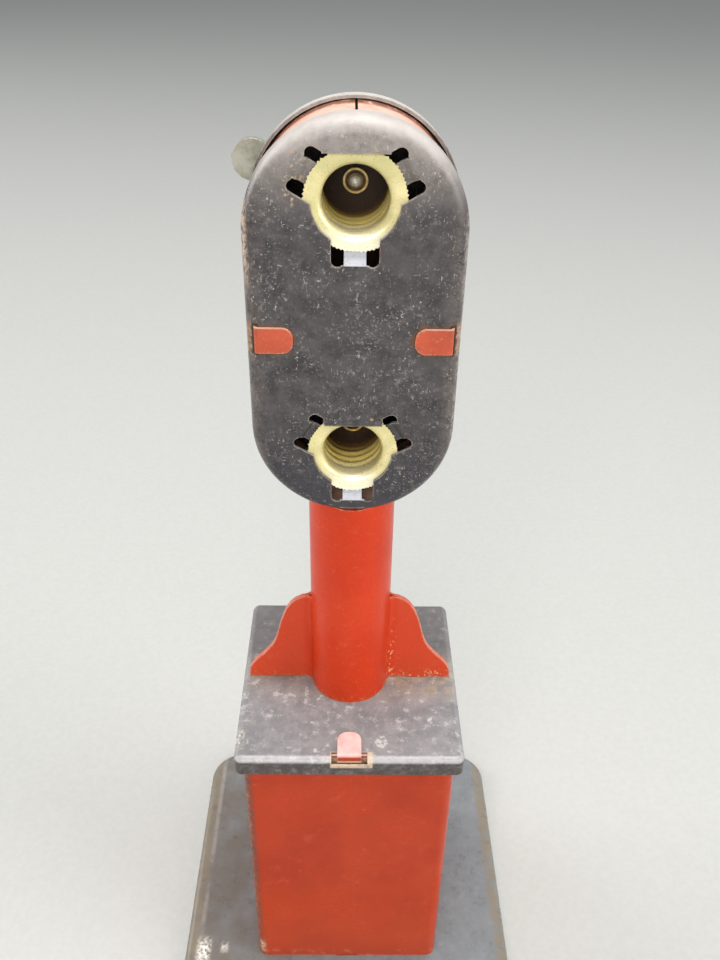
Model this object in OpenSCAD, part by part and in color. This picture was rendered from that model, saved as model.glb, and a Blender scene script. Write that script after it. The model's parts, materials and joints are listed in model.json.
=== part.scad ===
// Toy two-lamp signal post in tinplate, with a dry cell in the box under the mast.
// Millimetres. +Z is up, the lamps face -Y, and the origin is the centre of the foot.

/* [Sheet] */
// Thickness of the tinplate
sheet_t = 0.5; // [0.4:0.05:0.5]

/* [Base] */
// Side of the square base plate
base_w = 77.5; // [74:0.5:90]
// Height of the base plate
base_h = 3; // [3:0.1:3.4]
// Corner radius of the base plate
base_corner = 8; // [5:0.5:10]

/* [Box] */
// Side of the square box
box_w = 42; // [42:0.5:44]
// Corner radius of the box
box_corner = 2.2; // [1.5:0.1:2.5]
// Side of the square lid
lid_w = 45; // [45:0.1:47]
// Height of the lid's top face above the ground
lid_top = 76; // [76:0.5:80]
// Depth of the lid's rim
lid_rim = 4.2; // [3.8:0.1:5]
// Corner radius of the lid
lid_corner = 1.6; // [1.5:0.1:3]

/* [Mast] */
// Outer radius of the tubular mast
mast_r = 7.9; // [7.6:0.1:8]
// Half width of the mast's foot, over the wings
wing_w = 21.3; // [20.5:0.1:21.5]
// Height of the wings
wing_h = 22.5; // [18:0.5:24]

/* [Head] */
// Height of the head's centre above the ground
head_z = 158; // [156:0.5:164]
// Width of the head
head_w = 33.4; // [33:0.1:34]
// Height of the head
head_h = 66; // [66:0.5:68]
// Depth of the head over both plates
head_d = 18.4; // [18.4:0.1:19]
// Depth of the rim of each head plate
head_rim = 4.2; // [4:0.1:4.6]
// Bend radius round the edge of each head plate
head_bend = 2.5; // [2:0.1:3]

/* [Lamps] */
// Distance between the two lamp sockets
lamp_pitch = 42; // [41:0.5:43]
// Bore radius of the screw sockets
socket_r = 4.9; // [4.8:0.05:5]
// Depth of a socket from its flange to its insulating disc
socket_depth = 10.7; // [10:0.1:10.8]
// Radius of the socket flange
flange_r = 7.8; // [7.6:0.1:8]
// Radius of the round openings in the front plate
opening_r = 6.5; // [6.3:0.1:6.7]

/* [Switch] */
// Distance from the lever's pivot to the centre of its thumb piece
lever_len = 27.6; // [26:0.1:28]
// Angle of the lever from upright, at either stop
lever_tilt = 36; // [33:0.5:37]
// Radius of the thumb piece
thumb_r = 3.3; // [3:0.1:3.6]

/* [Dry cell] */
// Radius of the dry cell
cell_r = 16.4; // [16:0.1:16.5]
// Height of the dry cell's can
cell_h = 57.5; // [55:0.5:58]

/* [Hidden] */
$fn = 64;
black = "#3c3d40";
red = "#b6402a";
brass = "#c9b25a";
zinc = "#9da49a";
fibre = "#4a2d20";
eps = 0.01;

// Base
base_bend = 1.8;
floor_z = base_h - sheet_t;
hatch_r = 17.6;
slot_gap = 0.1;
tab_w = 5;
tab_len = 4;

// Battery door
door_w = 37;
door_front = -18.8;
door_gap = 0.3;
door_top = floor_z - door_gap;
hinge_y = 20.4;
hinge_z = 1.3;
pin_r = 0.45;
pin_fit = 0.05;
knuckle_r = 1;
knuckle_start = 5;
knuckle_end = 17;
lug_x = 19.2;
ear_x = 16.5;

// Box and lid
box_top = lid_top - sheet_t;
box_in = box_w / 2 - sheet_t;
lid_bend = 1.3;
wire_hole_r = 6.5;
lid_tab_w = 4.7;
lid_tab_len = 5.1;
lid_loop_r = 0.9;
lid_notch_w = 7;
foot_tab_x = 14;
foot_tab_w = 4;

// Dry cell and its contacts
cell_z = 7.6;
cap_h = 2.1;
can_r = cell_r - 0.4;
can_t = 0.5;
seal_t = 1;
cap_flange_r = 4.6;
tube_in = 17.1;
tube_out = 18.1;
board_t = 1.2;
board_z = box_top - sheet_t - board_t - 0.4;
strip_t = 0.4;
strip_w = 7;
rivet_x = [-2, 2];
rivet_r = 0.7;
rivet_head_r = 1.1;
leaf_rivet_y = 10.6;
strip_rivet_y = 9;

// Mast
mast_in = mast_r - sheet_t;
mast_fit = 0.1;
blend_r = 1.5;
mast_top = head_z - 27;
ear_out = mast_r - 0.1;
ear_z = head_z - 29.1;
ear_near = 0.6;
ear_far = 3;
ear_len = 3.4;

// Head
arc_r = head_w / 2;
straight = head_h - head_w;
face_y = head_d / 2;
band_r = arc_r - 1.3;
band_straight = straight + 1.2;
band_inset = 1.7;
rim_y = face_y - head_rim;
side_tab_z = 0.2;
side_tab_h = 4.2;
side_tab_len = 6;
side_fold_r = 0.7;
side_slot_w = 0.7;
side_slot_h = 4.5;

// Lamps
lamp_mid = 0.5;
lamp_z = [head_z + lamp_mid + lamp_pitch / 2, head_z + lamp_mid - lamp_pitch / 2];
window_w = 7.1;
window_r = 9.4;
notch_r = 0.95;
notch_x = 8.7;
top_land = [6.6, 5.4];
shell_t = 0.3;
mouth_r = 0.8;
wall_len = socket_depth - 1.5;
seat_r = socket_r + shell_t;
shell_len = socket_depth + 0.8;
disc_t = 0.6;
eyelet_r = 1.95;
eyelet_hole_r = 1.4;

// Switch
pivot_r = 1.5;
pivot_fit = 0.05;
bush_r = 2.3;
bush_flange_r = 3.2;
bush_flange_t = 0.25;
lever_t = 1;
lever_w = 5;
lever_y = face_y + bush_flange_t + 0.05;
washer_t = 0.4;
wiper_y = 7.5;
wiper_t = 0.35;
wiper_len = 8;
cboard_y = 6.2;
cboard_t = 1;
stud_r = 1.4;
stop_r = 0.8;

// Wires
wire_r = 0.6;
wire_sides = 8;
battery_route = [
    [2.6, 13, 72.3], [5.4, 10, 71.8], [6.4, 4, 71.8], [6.3, 0.5, 73], [5, 0, 77], [3, 0, 84],
    [0, 1, 95], [-1, 1, 110], [0, 1, 121], [3, 1, 128], [6, 1.6, 133], [9.6, 3.4, 139],
    [10, 4.4, 147], [6.5, 4.9, 151.8], [2, 5.2, 153.6], [0.6, 5.2, 153.8]
];
upper_route = [[4.7, 4.6, 165], [7, 4.6, 168], [7, 4.4, 173], [4, 4.2, 177.6], [0.8, 4.1, 179.4]];
lower_route = [
    [-4.8, 4.6, 164.4], [-8.5, 4.6, 161], [-9.6, 4.4, 154], [-9.4, 4.2, 146], [-5, 4.1, 139.4],
    [-0.8, 4.1, 137.6]
];

// ---- Shapes that several pieces share ----

// Rectangle with round corners, centred
module rounded_rect(w, d, r) {
    square([w - 2 * r, d], center = true);
    square([w, d - 2 * r], center = true);
    for (x = [-1, 1], y = [-1, 1])
        translate([x * (w / 2 - r), y * (d / 2 - r)]) circle(r);
}

// Upright outline with full round ends, centred
module obround(r, length) {
    square([2 * r, length], center = true);
    for (y = [-1, 1]) translate([0, y * length / 2]) circle(r);
}

// Solid half section of a pan: a block from the axis out to r, with its upper corner rounded
module block_section(r, h, bend) {
    square([r, h - bend]);
    square([r - bend, h]);
    translate([r - bend, h - bend]) intersection() {
        circle(bend);
        square(bend);
    }
}

// Half section of a sheet pan that opens downwards
module pan_section(r, h, bend) {
    difference() {
        block_section(r, h, bend);
        translate([-eps, -eps]) block_section(r - sheet_t + eps, h - sheet_t + eps, bend - sheet_t);
    }
}

// Square drawn pan, open below, with its rim from z = 0 to z = h
module square_pan(w, h, corner, bend) {
    half = w / 2 - corner;
    for (a = [0, 90, 180, 270]) rotate(a) {
        translate([half, half, 0]) rotate_extrude(angle = 90) pan_section(corner, h, bend);
        translate([half, half, 0]) rotate([90, 0, 0]) linear_extrude(2 * half) pan_section(corner, h, bend);
    }
    translate([-half, -half, h - sheet_t]) cube([2 * half, 2 * half, sheet_t]);
}

// Drawn pan with full round ends, open below
module obround_pan(r, length, h, bend) {
    for (a = [0, 180]) rotate(a) {
        translate([0, length / 2, 0]) rotate_extrude(angle = 180) pan_section(r, h, bend);
        translate([0, length / 2, 0]) rotate([90, 0, 0]) linear_extrude(length) pan_section(r, h, bend);
    }
}

// Puts a shape drawn face on into the head: its y is up, and its z points out of the front
module in_head(y, z = head_z) {
    translate([0, y, z]) rotate([90, 0, 0]) children();
}

// Puts a shape drawn face on onto the back: its y is up, and its z points out of the back
module on_back(y, z = head_z) {
    in_head(y, z) mirror([0, 0, 1]) children();
}

// Strip with one straight and one round end, from x = 0 to x = length
module round_ended(length, w) {
    r = w * 0.42;
    translate([0, -w / 2]) square([length - r, w]);
    translate([length - r, -w / 2 + r]) square([r, w - 2 * r]);
    for (y = [-1, 1]) translate([length - r, y * (w / 2 - r)]) circle(r);
}

// Round rivet head, flat below and domed above
module dome(r, h) {
    ball = (r * r + h * h) / (2 * h);
    rotate_extrude() intersection() {
        translate([0, h - ball]) circle(ball);
        square([r, h]);
    }
}

function unit(v) = v / norm(v);

// Point on a smooth curve through the points p, between p[i] and p[i + 1]
function curve_at(p, i, t) =
    let (
        n = len(p) - 1,
        a = p[max(i - 1, 0)],
        b = p[i],
        c = p[min(i + 1, n)],
        d = p[min(i + 2, n)]
    )
    b + t * (c - a) / 2 + t * t * (a - 2.5 * b + 2 * c - d / 2) + t * t * t * (-a + 3 * b - 3 * c + d) / 2;

function smooth(p, steps) =
    [for (i = [0 : len(p) - 2], s = [0 : steps - 1]) curve_at(p, i, s / steps), p[len(p) - 1]];

function tangents(p) =
    let (n = len(p) - 1)
    [for (i = [0 : n]) unit(p[min(i + 1, n)] - p[max(i - 1, 0)])];

// One normal for each tangent, each turned as little as possible from the one before
function normals(t, last, i = 0) =
    i == len(t) ? [] :
    let (n = unit(last - (last * t[i]) * t[i]))
    concat([n], normals(t, n, i + 1));

// Insulated wire along a route
module wire(route) {
    p = smooth(route, 4);
    t = tangents(p);
    n = normals(t, [0.3, 0.9, 0.2]);
    rings = len(p);
    points = [
        for (i = [0 : rings - 1], k = [0 : wire_sides - 1])
            let (a = 360 * k / wire_sides)
            p[i] + wire_r * (cos(a) * n[i] + sin(a) * cross(t[i], n[i]))
    ];
    sides = [
        for (i = [0 : rings - 2], k = [0 : wire_sides - 1])
            let (
                a = i * wire_sides + k,
                b = i * wire_sides + (k + 1) % wire_sides
            )
            [a, a + wire_sides, b + wire_sides, b]
    ];
    start = [for (k = [0 : wire_sides - 1]) k];
    end = [for (k = [0 : wire_sides - 1]) rings * wire_sides - 1 - k];
    polyhedron(points, concat([start, end], sides), convexity = 8);
}

// Point on a four-point curve
function bezier(a, b, c, d, t) =
    pow(1 - t, 3) * a + 3 * t * pow(1 - t, 2) * b + 3 * t * t * (1 - t) * c + pow(t, 3) * d;

// ---- Base and battery door ----

module base_plate() {
    slot = tab_w + 2 * slot_gap;
    color(black) {
        difference() {
            square_pan(base_w, base_h, base_corner, base_bend);
            translate([0, 0, floor_z - 1]) cylinder(r = hatch_r, h = 3);
            for (a = [0, 90, 180, 270]) rotate(a)
                translate([-slot / 2, -box_w / 2 - slot_gap, floor_z - 1])
                    cube([slot, sheet_t + 2 * slot_gap, 3]);
        }
        for (side = [-1, 1]) difference() {
            translate([side * (lug_x + sheet_t / 2) - sheet_t / 2, hinge_y - 1.2, hinge_z - 1])
                cube([sheet_t, 2.4, floor_z - hinge_z + 1 + eps]);
            translate([side * lug_x - 2, hinge_y, hinge_z]) rotate([0, 90, 0])
                cylinder(r = pin_r + pin_fit, h = 4);
        }
    }
}

module battery_door() {
    knuckle_len = knuckle_end - knuckle_start;
    pull_w = 8;
    color(zinc) {
        difference() {
            union() {
                translate([-door_w / 2, door_front, door_top - sheet_t])
                    cube([door_w, hinge_y - door_front, sheet_t]);
                for (side = [-1, 1]) translate([side * (knuckle_start + knuckle_end) / 2, hinge_y, hinge_z])
                    rotate([0, 90, 0]) cylinder(r = knuckle_r, h = knuckle_len, center = true);
                for (side = [-1, 1])
                    translate([side * (ear_x - sheet_t / 2) - sheet_t / 2, -3, door_top - eps])
                        cube([sheet_t, 6, 2.2]);
                translate([6, door_front - 2.4, door_top - sheet_t]) cube([pull_w, 2.5, sheet_t]);
            }
            translate([-door_w, hinge_y, hinge_z]) rotate([0, 90, 0])
                cylinder(r = pin_r + pin_fit, h = 2 * door_w);
            translate([-knuckle_start, hinge_y - 1.3, -1]) cube([2 * knuckle_start, 4, 5]);
            for (x = rivet_x) translate([x, leaf_rivet_y, 0]) cylinder(r = rivet_r, h = 4);
        }
    }
}

module door_hinge_pin() {
    color(zinc) translate([0, hinge_y, hinge_z]) rotate([0, 90, 0])
        cylinder(r = pin_r, h = 2 * lug_x + 2.4, center = true);
}

// Bowed strip that presses on the underside of the cell
module door_contact_leaf() {
    rise = cell_z - 0.15 - door_top - strip_t;
    color(brass) difference() {
        translate([strip_w / 2, 0, door_top]) rotate([90, 0, -90]) linear_extrude(strip_w)
            polygon([
                [-13, 0], [-8.2, 0], [-3.2, rise], [3.2, rise], [8.2, 0.2], [9.5, 0.7],
                [9.2, 1.05], [8.2, 0.7], [3.4, rise + strip_t], [-3.4, rise + strip_t],
                [-8.4, strip_t], [-13, strip_t]
            ]);
        for (x = rivet_x) translate([x, leaf_rivet_y, 0]) cylinder(r = rivet_r, h = 4);
    }
}

module door_leaf_rivets() {
    color(zinc) for (x = rivet_x) translate([x, leaf_rivet_y, door_top - sheet_t]) {
        cylinder(r = rivet_r, h = sheet_t + strip_t);
        translate([0, 0, sheet_t + strip_t]) dome(rivet_head_r, 0.5);
        translate([0, 0, -0.4]) cylinder(r = rivet_head_r, h = 0.4);
    }
}

// ---- Box, lid and dry cell ----

// Quarter of a sheet bend round the origin, from straight up to straight left
module sheet_bend(r) {
    intersection() {
        difference() {
            circle(r);
            circle(r - sheet_t);
        }
        translate([-r, 0]) square(r);
    }
}

// Tab through the lid: out of the wall, round a small loop and back over the lid
module lid_tab() {
    loop_y = -box_w / 2;
    loop_z = lid_top + sheet_t - lid_loop_r;
    translate([-lid_tab_w / 2, 0, 0]) rotate([90, 0, 90]) linear_extrude(lid_tab_w) {
        translate([loop_y, loop_z]) sheet_bend(lid_loop_r);
        translate([loop_y - lid_loop_r, loop_z - 0.6]) square([sheet_t, 0.6]);
        translate([loop_y - lid_loop_r, loop_z - 1]) square([lid_loop_r + sheet_t, 0.5]);
    }
    translate([0, loop_y, lid_top]) rotate(90) linear_extrude(sheet_t) round_ended(lid_tab_len, lid_tab_w);
}

module box_body() {
    foot = base_h - sheet_t - sheet_t;
    fold_y = -box_w / 2;
    color(red) {
        translate([0, 0, base_h]) linear_extrude(box_top - base_h) difference() {
            rounded_rect(box_w, box_w, box_corner);
            rounded_rect(box_w - 2 * sheet_t, box_w - 2 * sheet_t, box_corner - sheet_t);
        }
        // Lap of the seam, inside the back wall
        translate([-3, box_in - sheet_t, base_h]) cube([6, sheet_t + eps, box_top - base_h]);
        // Feet through the base plate, bent outwards under it
        for (a = [0, 90, 180, 270]) rotate(a) {
            translate([-tab_w / 2, fold_y, foot]) cube([tab_w, sheet_t, base_h - foot + eps]);
            translate([-tab_w / 2, fold_y - tab_len, foot]) cube([tab_w, tab_len + eps, sheet_t]);
        }
        for (a = [0, 180]) rotate(a) lid_tab();
    }
}

module box_lid() {
    color(black) difference() {
        translate([0, 0, lid_top - lid_rim]) square_pan(lid_w, lid_rim, lid_corner, lid_bend);
        translate([0, 0, lid_top - 2]) cylinder(r = wire_hole_r, h = 4);
        for (a = [0, 180]) rotate(a)
            translate([-lid_notch_w / 2, -lid_w / 2 - 1, lid_top - 1.6])
                cube([lid_notch_w, (lid_w - box_w) / 2 + 1 + sheet_t + slot_gap, 3]);
        for (side = [-1, 1]) translate([side * foot_tab_x, 0, lid_top])
            cube([foot_tab_w + 2 * slot_gap, 2 * sheet_t + 2 * slot_gap, 3], center = true);
    }
}

// Card tube that keeps the cell upright and off the box
module cell_tube() {
    color("#a58a60") translate([0, 0, base_h]) difference() {
        cylinder(r = tube_out, h = board_z - base_h);
        translate([0, 0, -1]) cylinder(r = tube_in, h = board_z);
    }
}

module cell_jacket() {
    color("#31506b") translate([0, 0, cell_z + 0.4]) difference() {
        cylinder(r = cell_r, h = cell_h - 0.4);
        translate([0, 0, -1]) cylinder(r = can_r, h = cell_h + 2);
    }
}

// Zinc can, open above
module cell_can() {
    color(zinc) translate([0, 0, cell_z]) difference() {
        cylinder(r = can_r, h = cell_h);
        translate([0, 0, can_t]) cylinder(r = can_r - can_t, h = cell_h);
    }
}

// Pressed filling of the cell
module cell_core() {
    color("#262626") translate([0, 0, cell_z + can_t])
        cylinder(r = can_r - can_t, h = cell_h - can_t - seal_t - 0.4);
}

module cell_seal() {
    color("#1c1c1c") translate([0, 0, cell_z + cell_h - seal_t - 0.4]) difference() {
        cylinder(r = can_r - can_t, h = seal_t);
        translate([0, 0, -1]) cylinder(r = cap_flange_r, h = 3);
    }
}

module cell_cap() {
    color(brass) translate([0, 0, cell_z + cell_h - seal_t - 0.4]) rotate_extrude() {
        square([cap_flange_r, seal_t]);
        block_section(3.2, seal_t + 0.4 + cap_h, 0.8);
    }
}

// Fibre board under the lid that carries the positive strip
module top_board() {
    color(fibre) translate([0, 0, board_z]) difference() {
        linear_extrude(board_t) rounded_rect(2 * box_in - 0.6, 2 * box_in - 0.6, 1.6);
        translate([-4, box_in - 1.6, -1]) cube([8, 3, 4]);
        translate([6, 0.4, -1]) cylinder(r = 1.3, h = 4);
        for (x = rivet_x) translate([x, strip_rivet_y, -1]) cylinder(r = rivet_r, h = 4);
    }
}

module positive_strip() {
    drop = board_z - (cell_z + cell_h + cap_h);
    color(brass) difference() {
        translate([strip_w / 2, 0, board_z]) rotate([90, 0, -90]) linear_extrude(strip_w)
            polygon([
                [-15, 0], [-6, 0], [-1, -drop + strip_t], [2.4, -drop + strip_t], [4, -drop + 2],
                [4.4, -drop + 1.8], [2.7, -drop], [-1.2, -drop], [-6.2, -strip_t], [-15, -strip_t]
            ]);
        for (x = rivet_x) translate([x, strip_rivet_y, board_z - 1]) cylinder(r = rivet_r, h = 4);
    }
}

module positive_strip_rivets() {
    color(zinc) for (x = rivet_x) translate([x, strip_rivet_y, board_z - strip_t]) {
        cylinder(r = rivet_r, h = strip_t + board_t);
        translate([0, 0, strip_t + board_t]) cylinder(r = rivet_head_r, h = 0.3);
        mirror([0, 0, 1]) dome(rivet_head_r, 0.5);
    }
}

// ---- Mast ----

// Half of the ogee outline of the wings, from the toe to the tube
function wing_curve(steps) =
    let (
        toe = [wing_w - 0.3, 0],
        waist = [wing_w * 0.74, wing_h * 0.43],
        shoulder = [mast_r, wing_h]
    )
    concat(
        [for (i = [0 : steps])
            bezier(toe, toe + [1, 4], waist + [1.9, -4], waist, i / steps)],
        [for (i = [1 : steps])
            bezier(waist, waist + [-1.8, 3.7], shoulder + [6.3, 0], shoulder, i / steps)]
    );

// Section of one wing: flat sheet that a small radius blends into the tube
module wing_section() {
    away = mast_r + blend_r - 0.03;
    drop = blend_r + sheet_t;
    across = sqrt(away * away - drop * drop);
    translate([across, -sheet_t]) square([wing_w - across, sheet_t]);
    translate([across, -drop]) intersection() {
        difference() {
            circle(drop);
            circle(blend_r);
        }
        polygon([[0, 0], [0, drop + 1], [-across, drop + 1], [-across, drop]]);
    }
}

// Both wings of one stamping, on the -Y side
module wings() {
    right = wing_curve(10);
    left = [for (i = [len(right) - 1 : -1 : 0]) [-right[i][0], right[i][1]]];
    intersection() {
        translate([0, 0, lid_top]) rotate([90, 0, 0]) linear_extrude(mast_r) polygon(concat(right, left));
        for (side = [0, 1]) mirror([side, 0, 0])
            translate([0, 0, lid_top]) linear_extrude(wing_h) wing_section();
    }
}

// Space inside the head, over its full depth or past the rims only
module head_space(r, length, from_y) {
    for (back = [0, 1]) mirror([0, back, 0])
        in_head(-from_y) linear_extrude(head_d) obround(r, length);
}

// One stamping: half of the tube with both wings, lying on the -Y side
module mast_shell() {
    color(red) {
        difference() {
            union() {
                translate([0, 0, lid_top]) difference() {
                    cylinder(r = mast_r, h = mast_top - lid_top);
                    translate([-mast_r - 1, 0, -1]) cube([2 * mast_r + 2, mast_r + 1, mast_top]);
                }
                wings();
            }
            translate([0, 0, lid_top - 1]) cylinder(r = mast_in, h = mast_top - lid_top + 2);
            head_space(band_r, band_straight, 0);
            head_space(arc_r + mast_fit, straight, rim_y - mast_fit);
        }
        for (side = [0, 1]) mirror([side, 0, 0]) {
            // Foot through the lid, bent out under it
            translate([foot_tab_x - foot_tab_w / 2, -sheet_t, lid_top - 2 * sheet_t])
                cube([foot_tab_w, sheet_t, 2 * sheet_t + eps]);
            translate([foot_tab_x - foot_tab_w / 2, -sheet_t - 3, lid_top - 2 * sheet_t])
                cube([foot_tab_w, 3 + eps, sheet_t]);
            // Ear up through the floor of the head, bent in over it
            translate([ear_out - sheet_t, -ear_far, ear_z - 2]) cube([sheet_t, ear_far - ear_near, 2]);
            translate([ear_out - ear_len, -ear_far, ear_z - sheet_t])
                cube([ear_len, ear_far - ear_near, sheet_t]);
        }
    }
}

module mast_front_shell() { mast_shell(); }

module mast_rear_shell() { mirror([0, 1, 0]) mast_shell(); }

// ---- Head ----

// Tab of the band: out through the slot in the plate and folded inwards over its face
module side_tab(depth) {
    fold_x = band_r - side_fold_r;
    fold_y = side_fold_r - face_y - sheet_t;
    translate([0, 0, head_z + side_tab_z - side_tab_h / 2]) linear_extrude(side_tab_h) {
        translate([fold_x, fold_y]) rotate(180) sheet_bend(side_fold_r);
        translate([band_r - sheet_t, fold_y]) square([sheet_t, sheet_t - depth / 2 - fold_y]);
    }
    in_head(-face_y) translate([fold_x + eps, side_tab_z, 0]) rotate(180)
        linear_extrude(sheet_t) round_ended(side_tab_len - side_fold_r, side_tab_h);
}

module head_band() {
    inner = band_r - sheet_t;
    depth = head_d - 2 * band_inset;
    color(red) difference() {
        union() {
            in_head(depth / 2) linear_extrude(depth) difference() {
                obround(band_r, band_straight);
                obround(inner, band_straight);
            }
            for (side = [0, 1], back = [0, 1]) mirror([side, 0, 0]) mirror([0, back, 0]) side_tab(depth);
        }
        // Hole for the wire and slots for the ears of the mast
        translate([0, 0, mast_top - 8]) cylinder(r = 4, h = 8);
        for (x = [-1, 1], y = [-1, 1])
            translate([x * (ear_out - sheet_t / 2), y * (ear_near + ear_far) / 2, mast_top - 4])
                cube([sheet_t + 2 * slot_gap, ear_far - ear_near + 2 * slot_gap, 5], center = true);
        // Seam where the two ends of the strip meet, with its small cross slot
        translate([-0.2, -depth, head_z + head_h / 2 - 3]) cube([0.4, 2 * depth, 4]);
        translate([-1, rim_y - 1.2, head_z + head_h / 2 - 3]) cube([2, 0.6, 4]);
    }
}

// One window in the front plate, pointing along +X, cut round its tongue
module window() {
    translate([0, -window_w / 2]) square([notch_x, window_w]);
    translate([notch_x - eps, -window_w / 2 + notch_r])
        square([window_r - notch_x, window_w - 2 * notch_r]);
    for (y = [-1, 1]) translate([notch_x, y * (window_w / 2 - notch_r)]) circle(notch_r);
}

// Round opening with three windows, and a straight upper edge at height land
module lamp_opening(land) {
    chord = 4.8;
    difference() {
        union() {
            circle(opening_r);
            for (a = [30, 150, 270]) rotate(a) window();
            translate([-chord, 0]) square([2 * chord, land]);
        }
        translate([-chord, land]) square([2 * chord, 3]);
    }
}

// Tongue bent back from the edge of a window, to hold the flange of a socket from behind
module tongue() {
    w = 3.3;
    rotate([90, 0, 0]) translate([0, 0, -w / 2]) linear_extrude(w) polygon([
        [window_r + 0.5, 0], [window_r, 0], [9, -0.15], [8.65, -0.5], [8.3, -0.8], [6.9, -0.8],
        [6.9, -1.25], [8.4, -1.25], [8.9, -1.05], [9.3, -0.65], [window_r + 0.1, -sheet_t],
        [window_r + 0.5, -sheet_t]
    ]);
}

module front_tongues(z) {
    in_head(-face_y, z) for (a = [30, 150, 270]) rotate(a) tongue();
}

module side_slots() {
    for (side = [-1, 1]) translate([side * (band_r - sheet_t / 2), side_tab_z, 0])
        cube([side_slot_w, side_slot_h, 20], center = true);
}

module head_front_plate() {
    color(black) {
        difference() {
            in_head(-rim_y) obround_pan(arc_r, straight, head_rim, head_bend);
            in_head(-face_y + 2, head_z) translate([0, 0, 9]) side_slots();
            for (i = [0, 1]) in_head(-face_y + 1, lamp_z[i]) linear_extrude(3) lamp_opening(top_land[i]);
        }
        for (i = [0, 1]) front_tongues(lamp_z[i]);
    }
}

// Places something beside the lever when it is thrown to one side
module lever_frame(side) {
    translate([0, face_y, head_z]) rotate([0, side * lever_tilt, 0]) children();
}

module head_back_plate() {
    beside = lever_w / 2 + stop_r + 0.15;
    color(black) {
        difference() {
            on_back(rim_y) obround_pan(arc_r, straight, head_rim, head_bend);
            on_back(face_y - 2) translate([0, 0, 9]) side_slots();
            on_back(face_y - 2) cylinder(r = bush_r, h = 4);
            for (x = [-1, 1]) on_back(face_y - 2) translate([x * 6, -5, 0]) cylinder(r = 0.8, h = 4);
        }
        for (side = [-1, 1]) lever_frame(side) translate([side * beside, -eps, 12]) rotate([-90, 0, 0]) {
            cylinder(r = stop_r, h = 0.7);
            translate([0, 0, 0.7]) dome(stop_r, 0.5);
        }
    }
}

// ---- Lamp sockets ----

// Brass screw shell with a flared mouth; its z points out of the lamp opening
module socket(z) {
    color(brass) in_head(-face_y + sheet_t, z) rotate_extrude() {
        translate([socket_r + mouth_r, -shell_t]) square([flange_r - socket_r - mouth_r, shell_t]);
        translate([socket_r, -wall_len]) square([shell_t, wall_len - mouth_r]);
        translate([socket_r, -wall_len]) square([2 * shell_t, shell_t]);
        translate([seat_r, -shell_len]) square([shell_t, shell_len - wall_len]);
        intersection() {
            translate([socket_r + mouth_r, -mouth_r]) difference() {
                circle(mouth_r);
                circle(mouth_r - shell_t);
            }
            translate([socket_r, -mouth_r]) square(mouth_r);
        }
        translate([socket_r - 0.7, -shell_len]) square([seat_r - socket_r + 0.7, shell_t - 0.1]);
    }
}

module insulator(z) {
    color(fibre) in_head(-face_y + sheet_t + socket_depth + disc_t - 0.1, z) difference() {
        cylinder(r = seat_r - 0.05, h = disc_t - 0.1);
        translate([0, 0, -1]) cylinder(r = 1.2, h = 3);
    }
}

// Tubular rivet through the insulating disc
module contact_eyelet(z) {
    color(brass) in_head(-face_y + sheet_t + socket_depth, z) rotate_extrude() {
        translate([0.9, -1.4]) square([0.3, 1.8]);
        translate([eyelet_hole_r, 0]) square([eyelet_r - eyelet_hole_r, 0.45]);
        translate([0.9, 0]) square([eyelet_r - 0.9, 0.2]);
        translate([0.9, -1.4]) square([1, 0.3]);
    }
}

// Soldered end of the lamp wire, standing in the eyelet
module contact_tip(z) {
    color("#c9c9c4") in_head(-face_y + sheet_t + socket_depth + 1.5, z) {
        cylinder(r = 0.88, h = 2.2);
        translate([0, 0, 2.2]) dome(0.88, 0.5);
    }
}

module socket_upper() { socket(lamp_z[0]); }

module socket_lower() { socket(lamp_z[1]); }

module insulator_upper() { insulator(lamp_z[0]); }

module insulator_lower() { insulator(lamp_z[1]); }

module contact_eyelet_upper() { contact_eyelet(lamp_z[0]); }

module contact_eyelet_lower() { contact_eyelet(lamp_z[1]); }

module contact_tip_upper() { contact_tip(lamp_z[0]); }

module contact_tip_lower() { contact_tip(lamp_z[1]); }

// ---- Switch ----

// Places something on the pivot, thrown to the left, with its z along +Y
module on_pivot(y) {
    translate([0, y, head_z]) rotate([0, -lever_tilt, 0]) rotate([-90, 0, 0]) children();
}

module switch_lever() {
    color(zinc) on_pivot(lever_y) linear_extrude(lever_t) difference() {
        union() {
            circle(3.6);
            translate([-lever_w / 2, -lever_len]) square([lever_w, lever_len]);
            translate([0, -lever_len]) circle(thumb_r);
        }
        circle(pivot_r);
    }
}

module lever_pivot() {
    head_at = lever_y + lever_t + washer_t;
    color(brass) {
        on_pivot(cboard_y - 0.5) cylinder(r = pivot_r, h = head_at - cboard_y + 0.5 + eps);
        on_pivot(head_at) dome(2.7, 1);
    }
}

module lever_spring_washer() {
    color(brass) on_pivot(lever_y + lever_t) difference() {
        cylinder(r = 3.1, h = washer_t);
        translate([0, 0, -1]) cylinder(r = pivot_r, h = 3);
    }
}

// Contact arm inside the head, with a dimple that sweeps the studs
module lever_wiper() {
    color(brass) {
        on_pivot(wiper_y) linear_extrude(wiper_t) difference() {
            union() {
                circle(2.7);
                translate([-1.3, -wiper_len]) square([2.6, wiper_len]);
                translate([0, -wiper_len]) circle(1.3);
            }
            circle(pivot_r);
        }
        on_pivot(wiper_y) translate([0, -wiper_len, 0]) mirror([0, 0, 1]) dome(0.7, 0.1);
    }
}

module pivot_bush() {
    color(fibre) on_back(face_y - sheet_t) difference() {
        union() {
            cylinder(r = bush_r, h = sheet_t + bush_flange_t);
            translate([0, 0, sheet_t]) cylinder(r = bush_flange_r, h = bush_flange_t);
        }
        translate([0, 0, -1]) cylinder(r = pivot_r + pivot_fit, h = 4);
    }
}

module pivot_bush_washer() {
    color(fibre) on_back(face_y - sheet_t - 0.4) difference() {
        cylinder(r = bush_flange_r, h = 0.4);
        translate([0, 0, -1]) cylinder(r = pivot_r + pivot_fit, h = 4);
    }
}

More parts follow.
